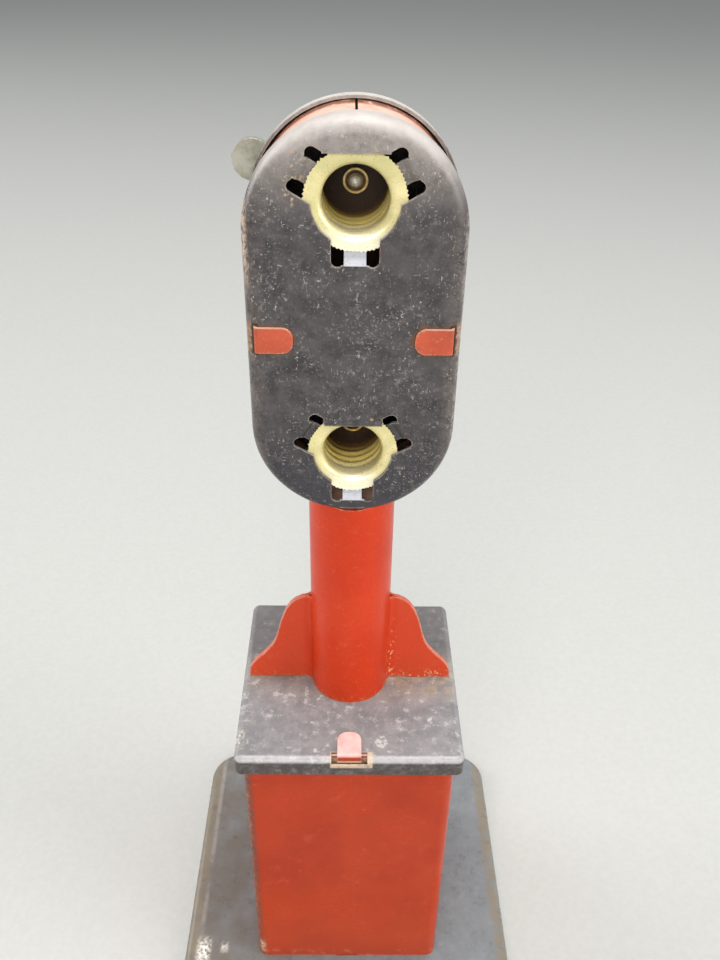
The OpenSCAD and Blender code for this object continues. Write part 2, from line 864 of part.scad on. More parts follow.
// Fibre board behind the lamps that carries the contact studs
module contact_board() {
    color(fibre) on_back(cboard_y) difference() {
        translate([0, 2.2, 0]) linear_extrude(cboard_t) rounded_rect(17, 19, 1.5);
        translate([0, 0, -1]) cylinder(r = pivot_r + pivot_fit, h = 4);
        for (side = [-1, 1]) {
            translate([side * 6, -5, -1]) cylinder(r = 0.8, h = 4);
            rotate(-side * lever_tilt) translate([0, wiper_len, -1]) cylinder(r = 0.8, h = 4);
        }
    }
}

module contact_board_rivets() {
    gap = face_y - sheet_t - cboard_y - cboard_t;
    color(zinc) for (x = [-1, 1]) on_back(cboard_y) translate([x * 6, -5, 0]) {
        translate([0, 0, -0.4]) cylinder(r = 1.3, h = 0.4);
        cylinder(r = 0.8, h = face_y - cboard_y);
        translate([0, 0, cboard_t]) cylinder(r = 1.4, h = gap);
        translate([0, 0, face_y - cboard_y]) dome(1.4, 0.6);
    }
}

module contact_stud(side) {
    color(brass) translate([0, cboard_y, head_z]) rotate([0, side * lever_tilt, 0])
        translate([0, 0, wiper_len]) rotate([-90, 0, 0]) {
            translate([0, 0, -0.9]) cylinder(r = 1, h = 0.9);
            cylinder(r = 0.8, h = cboard_t);
            translate([0, 0, cboard_t]) cylinder(r = stud_r, h = 0.15);
        }
}

module contact_stud_left() { contact_stud(-1); }

module contact_stud_right() { contact_stud(1); }

// Ring that feeds the pivot, with a soldering ear below it
module feed_tag() {
    color(brass) on_back(cboard_y - 0.4) linear_extrude(0.4) difference() {
        union() {
            circle(2.6);
            translate([-1, -5.2]) square([2, 5.2]);
        }
        circle(pivot_r + pivot_fit);
    }
}

// ---- Wires ----

module wire_battery() { color("#c8b48c") wire(battery_route); }

module wire_upper_lamp() { color("#8a2b22") wire(upper_route); }

module wire_lower_lamp() { color("#2f5a3a") wire(lower_route); }

base_plate();
battery_door();
door_hinge_pin();
door_contact_leaf();
door_leaf_rivets();
box_body();
box_lid();
cell_tube();
cell_jacket();
cell_can();
cell_core();
cell_seal();
cell_cap();
top_board();
positive_strip();
positive_strip_rivets();
mast_front_shell();
mast_rear_shell();
head_band();
head_front_plate();
head_back_plate();
socket_upper();
socket_lower();
insulator_upper();
insulator_lower();
contact_eyelet_upper();
contact_eyelet_lower();
contact_tip_upper();
contact_tip_lower();
switch_lever();
lever_pivot();
lever_spring_washer();
lever_wiper();
pivot_bush();
pivot_bush_washer();
contact_board();
contact_board_rivets();
contact_stud_left();
contact_stud_right();
feed_tag();
wire_battery();
wire_upper_lamp();
wire_lower_lamp();
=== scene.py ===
import json
import math
import random

import bmesh
import bpy
from mathutils import Matrix, Vector


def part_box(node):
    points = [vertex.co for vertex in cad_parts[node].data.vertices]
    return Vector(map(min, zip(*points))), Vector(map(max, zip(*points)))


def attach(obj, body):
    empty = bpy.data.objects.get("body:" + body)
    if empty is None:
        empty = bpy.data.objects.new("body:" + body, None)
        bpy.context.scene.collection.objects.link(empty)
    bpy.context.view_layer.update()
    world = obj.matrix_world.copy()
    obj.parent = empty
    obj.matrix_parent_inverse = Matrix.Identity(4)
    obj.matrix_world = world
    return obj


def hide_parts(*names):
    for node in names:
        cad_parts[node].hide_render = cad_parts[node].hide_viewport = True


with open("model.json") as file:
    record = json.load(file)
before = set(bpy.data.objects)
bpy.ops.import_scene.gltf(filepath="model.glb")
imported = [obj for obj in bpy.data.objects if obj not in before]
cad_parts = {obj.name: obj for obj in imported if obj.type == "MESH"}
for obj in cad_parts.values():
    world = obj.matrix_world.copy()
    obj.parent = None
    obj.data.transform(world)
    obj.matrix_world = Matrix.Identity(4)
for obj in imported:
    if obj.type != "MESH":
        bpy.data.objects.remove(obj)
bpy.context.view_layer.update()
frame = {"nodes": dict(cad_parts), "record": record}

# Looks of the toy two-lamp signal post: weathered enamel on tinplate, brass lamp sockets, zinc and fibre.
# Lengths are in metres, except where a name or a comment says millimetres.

MM = 0.001
NODES = frame["nodes"]
MOUNTS = {mount["name"]: mount for mount in frame["record"]["mounts"]}


def middle(node):
    """Centre of a CAD node's box."""
    low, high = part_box(node)
    return (low + high) / 2


def span(node):
    """Lowest and highest corner of a CAD node's box, in millimetres."""
    low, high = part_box(node)
    return low / MM, high / MM


# ---- Places on the object, in millimetres ----

# Base plate and lid: half their widths, and heights. The lid's skirt ends at LID_EDGE.
BASE_HALF = span("base_plate")[1].x
BASE_TOP = span("base_plate")[1].z
LID_HALF = span("box_lid")[1].x
LID_EDGE = span("box_lid")[0].z
LID_TOP = span("box_lid")[1].z
# The lid's overhang, half the width of the box, and the radius of the mast's tube
OVERHANG = 1.5
WALL = LID_HALF - OVERHANG
TUBE = -span("mast_front_shell")[0].y
# Plates of the head: half the width, the y of the front one's face, and the y of each one's rim
PLATE_HALF = span("head_front_plate")[1].x
PLATE_FACE = span("head_front_plate")[0].y
FRONT_RIM = span("head_front_plate")[1].y
BACK_RIM = span("head_back_plate")[0].y
# Heights of the two lamps, and the distance between them
LAMP_HIGH = MOUNTS["upper_lamp_socket"]["pos_m"][2] / MM
LAMP_LOW = MOUNTS["lower_lamp_socket"]["pos_m"][2] / MM
LAMP_GAP = LAMP_HIGH - LAMP_LOW
# Side tabs: the height of their middle, and how far in from the plate's edge their round ends begin
TAB_LEVEL = middle("head_front_plate").z / MM + 0.2
TAB_REACH = 5.2
# How far behind a lamp socket's flange the zones of its finish are measured from
MOUTH_DEPTH = 2.0


# ---- Camera, lights and floor ----

# The camera's turns are in degrees, and its lens and sensor in millimetres
CAMERA_PLACE = Vector((-0.842, -136.053, 217.986)) * MM
CAMERA_PITCH = 34.018
CAMERA_YAW = -0.968
CAMERA_ROLL = -1.039
CAMERA_LENS = 33.745
CAMERA_SENSOR = 36.0
CAMERA_CLIP = (0.005, 50.0)

LIGHT_TARGET = Vector((0, 0, 0.1))
# Each light: its place, the side of its square, its power in watts and its colour
LIGHTS = {
    "top": ((0.05, 0.02, 1.05), 0.6, 9.5, (1.0, 0.98, 0.95)),
    "front": ((-0.15, -0.95, 0.62), 0.6, 7.6, (1.0, 0.97, 0.93)),
    "right": ((1.35, -0.45, 0.60), 0.9, 13.5, (1.0, 0.98, 0.96)),
    "left": ((-1.35, 0.40, 0.60), 0.9, 12.0, (1.0, 0.98, 0.96)),
}
SKY_COLOUR = (0.92, 0.96, 1.0, 1)
SKY_STRENGTH = 0.42
FLOOR_HALF = 4.0


def make_camera():
    """The camera of the photo, as it was fitted to the outlines of the lid, box, post and head."""
    data = bpy.data.cameras.new("camera")
    data.lens = CAMERA_LENS
    data.sensor_width = CAMERA_SENSOR
    data.clip_start, data.clip_end = CAMERA_CLIP
    camera = bpy.data.objects.new("camera", data)
    turn = (
        Matrix.Rotation(math.radians(CAMERA_YAW), 4, "Z")
        @ Matrix.Rotation(math.radians(-CAMERA_PITCH), 4, "X")
        @ Matrix.Rotation(math.radians(CAMERA_ROLL), 4, "Y")
        @ Matrix.Rotation(math.radians(90), 4, "X")
    )
    camera.matrix_world = Matrix.Translation(CAMERA_PLACE) @ turn
    bpy.context.scene.collection.objects.link(camera)
    bpy.context.scene.camera = camera


def area_light(name, place, size, power, colour):
    """A square soft light that points at about the middle of the object."""
    data = bpy.data.lights.new(name, "AREA")
    data.shape = "SQUARE"
    data.size = size
    data.energy = power
    data.color = colour
    light = bpy.data.objects.new(name, data)
    light.location = place
    light.rotation_mode = "QUATERNION"
    light.rotation_quaternion = (LIGHT_TARGET - Vector(place)).to_track_quat("-Z", "Y")
    bpy.context.scene.collection.objects.link(light)


def make_lights():
    """A dim even sky and the soft lights."""
    world = bpy.data.worlds.new("studio")
    world.use_nodes = True
    background = world.node_tree.nodes["Background"]
    background.inputs["Color"].default_value = SKY_COLOUR
    background.inputs["Strength"].default_value = SKY_STRENGTH
    bpy.context.scene.world = world
    for name, (place, size, power, colour) in LIGHTS.items():
        area_light(name, place, size, power, colour)
    bpy.context.scene.view_settings.view_transform = "Standard"


# ---- Shader building ----


class Finish:
    """A Principled material, with short calls for the nodes that the finishes share.

    Sizes are in millimetres. x, y and z are the place on the object, and facing_z is how far a face looks up.
    """

    def __init__(self, name, specular=0.5, coat_roughness=0.2):
        self.material = bpy.data.materials.new(name)
        self.material.use_nodes = True
        self.tree = self.material.node_tree
        self.tree.nodes.clear()
        output = self.add("ShaderNodeOutputMaterial")
        self.surface = self.add("ShaderNodeBsdfPrincipled")
        self.surface.inputs["Specular IOR Level"].default_value = specular
        self.surface.inputs["Coat Roughness"].default_value = coat_roughness
        self.tree.links.new(self.surface.outputs[0], output.inputs[0])
        place = self.add("ShaderNodeTexCoord")
        self.place = self.vector("SCALE", place.outputs["Object"], 1 / MM)
        split = self.add("ShaderNodeSeparateXYZ")
        self.put(split.inputs[0], self.place)
        self.x, self.y, self.z = split.outputs
        facing = self.add("ShaderNodeSeparateXYZ")
        self.put(facing.inputs[0], place.outputs["Normal"])
        self.facing_z = facing.outputs["Z"]
        self.seed = 0.0

    def add(self, kind, **settings):
        """A new node, with its settings."""
        node = self.tree.nodes.new(kind)
        for key, value in settings.items():
            setattr(node, key, value)
        return node

    def put(self, socket, value):
        """Links an output to a socket, or sets the socket to a number or a colour."""
        if isinstance(value, bpy.types.NodeSocket):
            self.tree.links.new(value, socket)
        elif isinstance(value, tuple) and len(value) == 3 and socket.type == "RGBA":
            socket.default_value = (*value, 1)
        else:
            socket.default_value = value

    def vector(self, operation, a, b):
        """Vector arithmetic. b is a number for SCALE, and a vector otherwise."""
        node = self.add("ShaderNodeVectorMath", operation=operation)
        self.put(node.inputs[0], a)
        self.put(node.inputs[3] if operation == "SCALE" else node.inputs[1], b)
        return node.outputs["Value"] if operation in ("DOT_PRODUCT", "LENGTH") else node.outputs["Vector"]

    def calc(self, operation, a, b=0.0):
        node = self.add("ShaderNodeMath", operation=operation)
        self.put(node.inputs[0], a)
        self.put(node.inputs[1], b)
        return node.outputs[0]

    def times(self, *values):
        result = values[0]
        for value in values[1:]:
            result = self.calc("MULTIPLY", result, value)
        return result

    def most(self, *values):
        result = values[0]
        for value in values[1:]:
            result = self.calc("MAXIMUM", result, value)
        return result

    def flip(self, value):
        return self.calc("SUBTRACT", 1.0, value)

    def step(self, value, low, high, to_low=0.0, to_high=1.0):
        """Smooth rise from to_low to to_high as the value goes from low to high."""
        node = self.add("ShaderNodeMapRange", interpolation_type="SMOOTHSTEP")
        for socket, number in zip(node.inputs, (value, low, high, to_low, to_high)):
            self.put(socket, number)
        return node.outputs[0]

    def mix(self, share, a, b):
        """Colour a, with this share of colour b over it."""
        node = self.add("ShaderNodeMix", data_type="RGBA")
        self.put(node.inputs[0], share)
        self.put(node.inputs[6], a)
        self.put(node.inputs[7], b)
        return node.outputs[2]

    def blend(self, share, a, b):
        """Number a at share 0, and b at share 1."""
        node = self.add("ShaderNodeMix", data_type="FLOAT")
        self.put(node.inputs[0], share)
        self.put(node.inputs[2], a)
        self.put(node.inputs[3], b)
        return node.outputs[0]

    def shifted(self, stretch):
        """Position in millimetres, moved to a fresh part of the pattern and stretched."""
        self.seed += 17.3
        moved = self.vector("ADD", self.place, (self.seed, 2.1 * self.seed, -1.7 * self.seed))
        return self.vector("MULTIPLY", moved, tuple(1 / s for s in stretch))

    def noise(self, size, detail=3.0, rough=0.55, stretch=(1, 1, 1), twist=0.0):
        """Noise from 0 to 1, mostly near 0.5. size is the size of its largest features."""
        node = self.add("ShaderNodeTexNoise")
        self.put(node.inputs["Vector"], self.shifted(stretch))
        self.put(node.inputs["Scale"], 1 / size)
        self.put(node.inputs["Detail"], detail)
        self.put(node.inputs["Roughness"], rough)
        self.put(node.inputs["Distortion"], twist)
        return node.outputs[0]

    def flecks(self, spacing, radius, share, ragged=0.5, stretch=(1, 1, 1)):
        """Scattered ragged spots: their spacing, largest radius, and the share of places that has one."""
        node = self.add("ShaderNodeTexVoronoi")
        wobble = self.noise(radius * 1.2, detail=2.0)
        place = self.shifted(stretch)
        self.put(node.inputs["Vector"], place)
        self.put(node.inputs["Scale"], 1 / spacing)
        self.put(node.inputs["Randomness"], 1.0)
        colour = self.add("ShaderNodeSeparateColor")
        self.put(colour.inputs[0], node.outputs["Color"])
        present = self.calc("LESS_THAN", colour.outputs[0], share)
        reach = self.step(colour.outputs[1], 0.0, 1.0, 0.35 * radius / spacing, radius / spacing)
        uneven = self.times(self.calc("SUBTRACT", wobble, 0.5), ragged * 2 * radius / spacing)
        far = self.calc("ADD", node.outputs["Distance"], uneven)
        inside = self.calc("SUBTRACT", reach, far)
        return self.times(present, self.step(inside, -0.06 * radius / spacing, 0.25 * radius / spacing))

    def edges(self, radius, low=0.02, high=0.25):
        """Mask of the sharp edges, within this radius of them."""
        rounded = self.add("ShaderNodeBevel", samples=6)
        self.put(rounded.inputs["Radius"], radius * MM)
        plain = self.add("ShaderNodeNewGeometry")
        alike = self.vector("DOT_PRODUCT", rounded.outputs[0], plain.outputs["Normal"])
        return self.step(self.flip(alike), low, high)

    def finish(self, colour, roughness, metallic=0.0, height=None, depth=0.05, round_edge=0.12, coat=None):
        """Sets the surface, and returns the material.

        height is a bump in units of depth millimetres, on edges that are rounded by round_edge millimetres.
        """
        self.put(self.surface.inputs["Base Color"], colour)
        self.put(self.surface.inputs["Roughness"], roughness)
        self.put(self.surface.inputs["Metallic"], metallic)
        if coat is not None:
            self.put(self.surface.inputs["Coat Weight"], coat)
        rounded = self.add("ShaderNodeBevel", samples=4)
        self.put(rounded.inputs["Radius"], round_edge * MM)
        normal = rounded.outputs[0]
        if height is not None:
            bump = self.add("ShaderNodeBump")
            self.put(bump.inputs["Strength"], 1.0)
            self.put(bump.inputs["Distance"], depth * MM)
            self.put(bump.inputs["Height"], height)
            self.put(bump.inputs["Normal"], normal)
            normal = bump.outputs[0]
        self.put(self.surface.inputs["Normal"], normal)
        return self.material


# ---- Finishes ----

RUST = (0.30, 0.105, 0.035)
RUST_SPOT = (0.46, 0.26, 0.14)
OCHRE = (0.50, 0.33, 0.17)

# Worn black enamel
# Dust on upward faces, which also stands as a painted sheen there
GREY_FILM_AND_SHEEN = (0.40, 0.385, 0.37)
# Painted highlight on the upward-facing bend at the top of the head plates
CREST_HIGHLIGHT = (0.64, 0.61, 0.58)
GREY_SPECKLE = (0.36, 0.33, 0.31)
GREY_BLOTCH = (0.47, 0.46, 0.445)
TAN_FLECK = (0.50, 0.46, 0.41)
TAN_EDGE = (0.52, 0.44, 0.38)
YELLOW_DIRT = (0.42, 0.34, 0.20)
HEAD_SHADOW = (0.030, 0.029, 0.036)
FRONT_CROWN = (0.34, 0.305, 0.28)
BACK_CROWN = (0.40, 0.37, 0.34)
BACK_EDGE = (0.60, 0.54, 0.48)
BASE_EDGE = (0.40, 0.35, 0.28)

# Worn red enamel
RED_RUBBED = (0.62, 0.115, 0.065)
# Grime, which also serves as painted shade beneath the box's lid
RED_GRIME_AND_SHADE = (0.13, 0.055, 0.034)
RED_EDGE = (0.66, 0.40, 0.29)
# Chalky colours of the pale layer on upward faces, which is also a painted sheen
RED_CHALK_AND_SHEEN = (0.70, 0.40, 0.31)
BOX_CHALK_AND_SHEEN = (0.72, 0.50, 0.47)
BAND_CHALK_AND_SHEEN = (0.74, 0.50, 0.40)

# Brass. Of a pair of tones, the second shows where the tarnish pattern is strong.
SOCKET_TONE = (0.86, 0.76, 0.40)
CONTACT_TONE = (0.70, 0.52, 0.24)
# Eyelet brown: tarnish and painted shade
EYELET_TARNISH_AND_SHADE = ((0.055, 0.028, 0.014), (0.12, 0.066, 0.030))
EYELET_BRIGHT = ((0.58, 0.44, 0.20), (0.36, 0.26, 0.11))
BRASS_TARNISH = (0.50, 0.36, 0.13)
BRASS_BLOOM = (0.60, 0.56, 0.27)
# Painted light below a lamp and painted shade above it, on the socket's flange
BRASS_PAINTED_LIGHT = (0.92, 0.88, 0.66)
BRASS_PAINTED_SHADE = (0.58, 0.53, 0.24)
BRASS_THREAD = (0.90, 0.76, 0.28)
# Painted shade deep in a lamp socket
BRASS_DEEP_SHADE = (0.13, 0.055, 0.014)
BRASS_SPOT = (0.28, 0.20, 0.09)
BRASS_EDGE = (0.93, 0.86, 0.60)

# Zinc plate
ZINC_TONES = ((0.28, 0.275, 0.22), (0.44, 0.43, 0.35))
ZINC_BLOOM = (0.54, 0.54, 0.47)
ZINC_RUST = (0.24, 0.13, 0.07)
ZINC_BRIGHT = (0.82, 0.83, 0.80)

# Solder, fibre, card, the dry cell and the wires
SOLDER_TONES = ((0.66, 0.66, 0.64), (0.46, 0.45, 0.43))
FIBRE_TONES = ((0.028, 0.010, 0.004), (0.064, 0.025, 0.012))
FIBRE_EDGE = (0.20, 0.12, 0.08)
CARD_TONES = ((0.30, 0.22, 0.13), (0.48, 0.37, 0.23))
CARD_SEAM = (0.16, 0.11, 0.06)
CARD_SPECK = (0.20, 0.14, 0.09)
PAPER_BLUES = ((0.028, 0.075, 0.16), (0.045, 0.11, 0.21))
PAPER_CREAM = (0.62, 0.54, 0.38)
PAPER_STAIN = (0.16, 0.12, 0.08)
PAPER_RUBBED = (0.55, 0.50, 0.42)
PITCH_BLACK = (0.012, 0.010, 0.009)
PITCH_DUST = (0.10, 0.085, 0.07)
CARBON_TONES = ((0.010, 0.010, 0.011), (0.045, 0.043, 0.042))
COTTON_CREAM = (0.50, 0.42, 0.26)
COTTON_BROWN = (0.30, 0.10, 0.06)
COTTON_RED = (0.30, 0.05, 0.035)
COTTON_GREEN = (0.05, 0.15, 0.07)
COTTON_FUZZ = (0.60, 0.56, 0.50)

FLOOR_TONES = ((0.44, 0.445, 0.43), (0.46, 0.465, 0.45))

# Each enamel's two tones, the second one where it is mottled or thin
HEAD_BLACK = ((0.034, 0.031, 0.034), (0.082, 0.073, 0.074))
# The lid and the base are black enamel as well: their paler greys are weathering and a painted sheen
LID_GREY_AND_SHEEN = ((0.120, 0.122, 0.132), (0.215, 0.208, 0.216))
BASE_GREY_AND_SHEEN = ((0.137, 0.152, 0.163), (0.168, 0.187, 0.200))
BOX_RED = ((0.41, 0.033, 0.003), (0.345, 0.025, 0.002))
MAST_RED = ((0.54, 0.039, 0.007), (0.49, 0.031, 0.005))
HEAD_RED = ((0.54, 0.100, 0.050), (0.40, 0.070, 0.036))


def black_enamel(name, dark, pale, speckle=1.0, blotch=0.0, film_and_sheen=0.0, worn=TAN_EDGE,
                 stain=None, top=None, low=None, bare_spots=None):
    """Old black paint, mottled between two greys, with fine flecks and worn edges.

    speckle and blotch are the strengths of the flecks and the blotches, and the argument after blotch is the
    strength of the dust on upward faces, which is also a painted sheen there.
    stain is a mask of yellow-brown grime. top and low are (height, height, colour): the colour fades in from
    the first height, in millimetres, to the second, and within top the faces that look up also get a painted
    highlight. bare_spots gives pairs of a mask and the colour that shows there.
    """
    f = Finish(name, specular=0.36)
    cloud = f.noise(3.4, detail=6.0, rough=0.68)
    wide = f.noise(14.0, detail=3.0)
    colour = f.mix(f.step(cloud, 0.36, 0.66), dark, pale)
    colour = f.mix(f.step(wide, 0.35, 0.7, 0.0, 0.35), colour, pale)
    # Dust on faces that look up, which is also a painted sheen there
    upward = f.step(f.facing_z, 0.3, 0.95)
    veil_and_sheen = f.times(upward, f.step(f.noise(2.0, detail=6.0, rough=0.7), 0.25, 0.7, 0.55, 1.0), film_and_sheen)
    colour = f.mix(veil_and_sheen, colour, GREY_FILM_AND_SHEEN)
    if low is not None:
        start, end, shown = low
        colour = f.mix(f.step(f.z, start, end, 0.0, 0.75), colour, shown)
    if top is not None:
        start, end, shown = top
        patchy = f.step(f.noise(1.6, detail=6.0, rough=0.7), 0.2, 0.7, 0.45, 1.0)
        colour = f.mix(f.times(f.step(f.z, start, end), patchy), colour, shown)
        # Painted highlight on faces that look up within the top zone
        crest_highlight = f.times(f.step(f.facing_z, 0.25, 0.65), f.step(f.noise(2.6, detail=3.0), 0.3, 0.6, 0.6, 1.0))
        colour = f.mix(f.times(crest_highlight, f.step(f.z, start, end), 0.4), colour, CREST_HIGHLIGHT)
    if stain is not None:
        grime_and_shade = f.times(stain(f), f.step(f.noise(1.7, detail=5.0, rough=0.7), 0.36, 0.62))
        colour = f.mix(f.times(grime_and_shade, 0.55), colour, YELLOW_DIRT)
    crowd = f.step(f.noise(6.0, detail=3.0), 0.36, 0.62, 0.15, 1.0)
    soft = f.times(f.step(f.noise(1.1, detail=4.0, rough=0.65), 0.54, 0.68), crowd)
    colour = f.mix(f.times(soft, 0.28, speckle), colour, GREY_SPECKLE)
    fine = f.times(f.step(f.noise(0.42, detail=2.0, rough=0.5, twist=0.2), 0.63, 0.70), crowd)
    dash = f.times(f.step(f.noise(0.32, detail=1.0, stretch=(2.2, 1.0, 1.0), twist=0.6), 0.67, 0.74), crowd)
    slant = f.times(f.step(f.noise(0.32, detail=1.0, stretch=(1.0, 1.0, 2.4), twist=0.6), 0.67, 0.74), crowd)
    flecks = f.times(f.most(fine, dash, slant), speckle)
    colour = f.mix(f.times(flecks, f.step(f.noise(0.9), 0.35, 0.75, 0.25, 1.0)), colour, TAN_FLECK)
    if blotch:
        spots = f.step(f.noise(1.9, detail=5.0, rough=0.7), 0.53, 0.72)
        ring = f.flecks(7.0, 1.5, 0.5, ragged=0.7)
        hollow = f.times(ring, f.step(f.noise(0.8, detail=3.0), 0.40, 0.58))
        colour = f.mix(f.times(f.most(spots, hollow), blotch), colour, GREY_BLOTCH)
    rusty = f.flecks(6.5, 0.55, 0.35, ragged=1.2)
    colour = f.mix(f.times(rusty, 0.7, speckle), colour, RUST_SPOT)
    edge = f.edges(0.45, 0.04, 0.30)
    broken = f.step(f.noise(1.1, detail=5.0, rough=0.7), 0.34, 0.58)
    bare = f.times(edge, broken)
    colour = f.mix(f.times(bare, 0.85), colour, worn)
    rim_rust = f.times(f.edges(0.8, 0.05, 0.35), f.step(f.noise(1.9, detail=4.0), 0.55, 0.68))
    colour = f.mix(f.times(rim_rust, 0.75), colour, RUST)
    for mask, shown in bare_spots(f) if bare_spots else ():
        colour = f.mix(mask, colour, shown)
    rough = f.blend(f.times(f.most(veil_and_sheen, flecks, rusty), 0.8), f.step(cloud, 0.3, 0.7, 0.24, 0.36), 0.5)
    height = f.calc("SUBTRACT", f.times(f.noise(0.7, detail=3.0), 0.5), f.times(f.most(flecks, bare), 0.6))
    return f.finish(colour, rough, height=height, depth=0.03)


def red_enamel(name, red, deep, chips, grime, veil_and_sheen=0.0, chalk_and_sheen=RED_CHALK_AND_SHEEN, grime_and_shade=None, bare_spots=None):
    """Old red paint: nearly even, with worn pale edges, ochre chips, and a chalky layer where it faces up
    that is also a painted sheen.

    chips and grime are strengths. The two arguments after grime are the strength and the colour of the chalky
    layer on upward faces and its painted sheen, and the next one is a mask of more darkening with painted
    shade in it. bare_spots gives pairs of a mask and the colour that shows there.
    """
    f = Finish(name, specular=0.22)
    wide = f.noise(13.0, detail=3.0)
    grain = f.noise(0.7, detail=5.0, rough=0.7)
    colour = f.mix(f.step(wide, 0.3, 0.7), red, deep)
    bright = tuple(1.35 * channel + 0.01 for channel in red)
    colour = f.mix(f.step(grain, 0.45, 0.8, 0.0, 0.30), colour, bright)
    rubbed = f.step(f.noise(3.0, detail=5.0, rough=0.7), 0.56, 0.78, 0.0, 0.35)
    colour = f.mix(rubbed, colour, RED_RUBBED)
    # Grime patches, and where a further mask is given, painted shade from it
    darkening = f.times(f.step(f.noise(4.0, detail=5.0, rough=0.7), 0.52, 0.78), grime)
    if grime_and_shade is not None:
        darkening = f.most(darkening, f.times(grime_and_shade(f), f.step(f.noise(1.5, detail=5.0, rough=0.75), 0.25, 0.60)))
    colour = f.mix(darkening, colour, RED_GRIME_AND_SHADE)
    # Chalky layer on faces that look up, which is also a painted sheen there
    film_and_sheen = f.times(f.step(f.facing_z, 0.25, 0.9), f.step(f.noise(2.4, detail=4.0), 0.2, 0.7, 0.6, 1.0), veil_and_sheen)
    colour = f.mix(film_and_sheen, colour, chalk_and_sheen)
    edge = f.edges(0.40, 0.04, 0.30)
    broken = f.step(f.noise(1.4, detail=5.0, rough=0.7), 0.32, 0.54)
    worn = f.times(edge, broken)
    colour = f.mix(f.times(worn, 0.8), colour, RED_EDGE)
    spots = f.times(f.step(f.noise(0.55, detail=3.0, rough=0.6, twist=0.8), 0.64, 0.69), chips)
    rim = f.times(f.edges(0.9, 0.03, 0.25), f.step(f.noise(0.6, detail=4.0), 0.57, 0.64))
    chipped = f.most(spots, rim)
    colour = f.mix(f.times(chipped, 0.85), colour, OCHRE)
    for mask, shown in bare_spots(f) if bare_spots else ():
        colour = f.mix(mask, colour, shown)
    rough = f.blend(f.most(worn, chipped, darkening), f.step(wide, 0.3, 0.7, 0.26, 0.34), 0.6)
    height = f.calc("SUBTRACT", f.times(f.noise(0.9, detail=2.0), 0.4), f.times(chipped, 0.8))
    return f.finish(colour, rough, height=height, depth=0.03)


# Radius of the hole through a contact eyelet, in millimetres
EYELET_HOLE = 0.9


def eyelet(name, centre_z, hole, rim):
    """Brass eyelet, brown with tarnish and painted shade, and a bright ring at its rim. hole and rim are
    radii in millimetres.
    """
    f = Finish(name)
    up = f.calc("SUBTRACT", f.z, centre_z)
    out = f.calc("SQRT", f.calc("ADD", f.times(f.x, f.x), f.times(up, up)))
    ring = f.times(f.step(out, rim - 0.42, rim - 0.30), f.step(out, rim + 0.02, rim - 0.10))
    inner = f.step(out, hole + 0.22, hole + 0.10)
    tarnish = f.noise(0.8, detail=4.0)
    # Brown of tarnish and painted shade over the eyelet's face
    brown = f.mix(f.step(tarnish, 0.3, 0.7), *EYELET_TARNISH_AND_SHADE)
    bright = f.mix(f.step(tarnish, 0.3, 0.6), *EYELET_BRIGHT)
    colour = f.mix(f.most(ring, f.times(inner, 0.5)), brown, bright)
    rough = f.blend(ring, 0.55, 0.30)
    metallic = f.blend(ring, 0.4, 1.0)
    return f.finish(colour, rough, metallic=metallic, height=tarnish, depth=0.02, round_edge=0.06)


def brass(name, tone, tarnish=0.5, deep=None):
    """Brass sheet with tarnish.

    deep is for a lamp socket: (y of its mouth, y of its bottom) in millimetres. Its flange has a pale bloom,
    with painted light below the lamp and painted shade above it, its thread is golden, and the part behind
    the thread is brown with painted shade.
    """
    f = Finish(name)
    patches = f.noise(2.2, detail=4.0)
    stain = f.step(patches, 0.42, 0.75, 0.0, tarnish)
    colour = f.mix(stain, tone, BRASS_TARNISH)
    fine = f.noise(0.35, detail=3.0, rough=0.7)
    rough = f.step(fine, 0.3, 0.7, 0.26, 0.42)
    metallic = 1.0
    if deep is not None:
        mouth, bottom = deep
        inward = f.step(f.y, mouth + 1.2, mouth + 3.8)
        deep_shade = f.step(f.y, bottom - 4.6, bottom - 1.8)
        colour = f.mix(f.step(f.noise(3.5, detail=3.0), 0.4, 0.65, 0.0, 0.5), colour, BRASS_BLOOM)
        colour = f.mix(inward, colour, BRASS_THREAD)
        # Painted shade deep in the socket
        colour = f.mix(f.times(deep_shade, 0.9), colour, BRASS_DEEP_SHADE)
        # Height above the axis of the nearer lamp
        lifted = f.calc("SUBTRACT", f.z, LAMP_LOW - LAMP_GAP / 2)
        up = f.calc("SUBTRACT", f.calc("MODULO", lifted, LAMP_GAP), LAMP_GAP / 2)
        # Painted light on the flange below the lamp, and painted shade above it
        colour = f.mix(f.times(f.step(up, -3.0, -6.5), f.flip(inward)), colour, BRASS_PAINTED_LIGHT)
        colour = f.mix(f.times(f.step(up, 1.0, 6.0, 0.0, 0.55), f.flip(inward)), colour, BRASS_PAINTED_SHADE)
        metallic = f.step(f.y, mouth - 0.5, mouth + 1.5, 0.40, 0.60)
        rough = f.blend(inward, rough, 0.27)
    dots = f.flecks(1.9, 0.13, 0.2)
    colour = f.mix(f.times(dots, 0.45), colour, BRASS_SPOT)
    worn = f.edges(0.25, 0.04, 0.3)
    colour = f.mix(f.times(worn, 0.5), colour, BRASS_EDGE)
    return f.finish(colour, rough, metallic=metallic, height=fine, depth=0.012, round_edge=0.06)


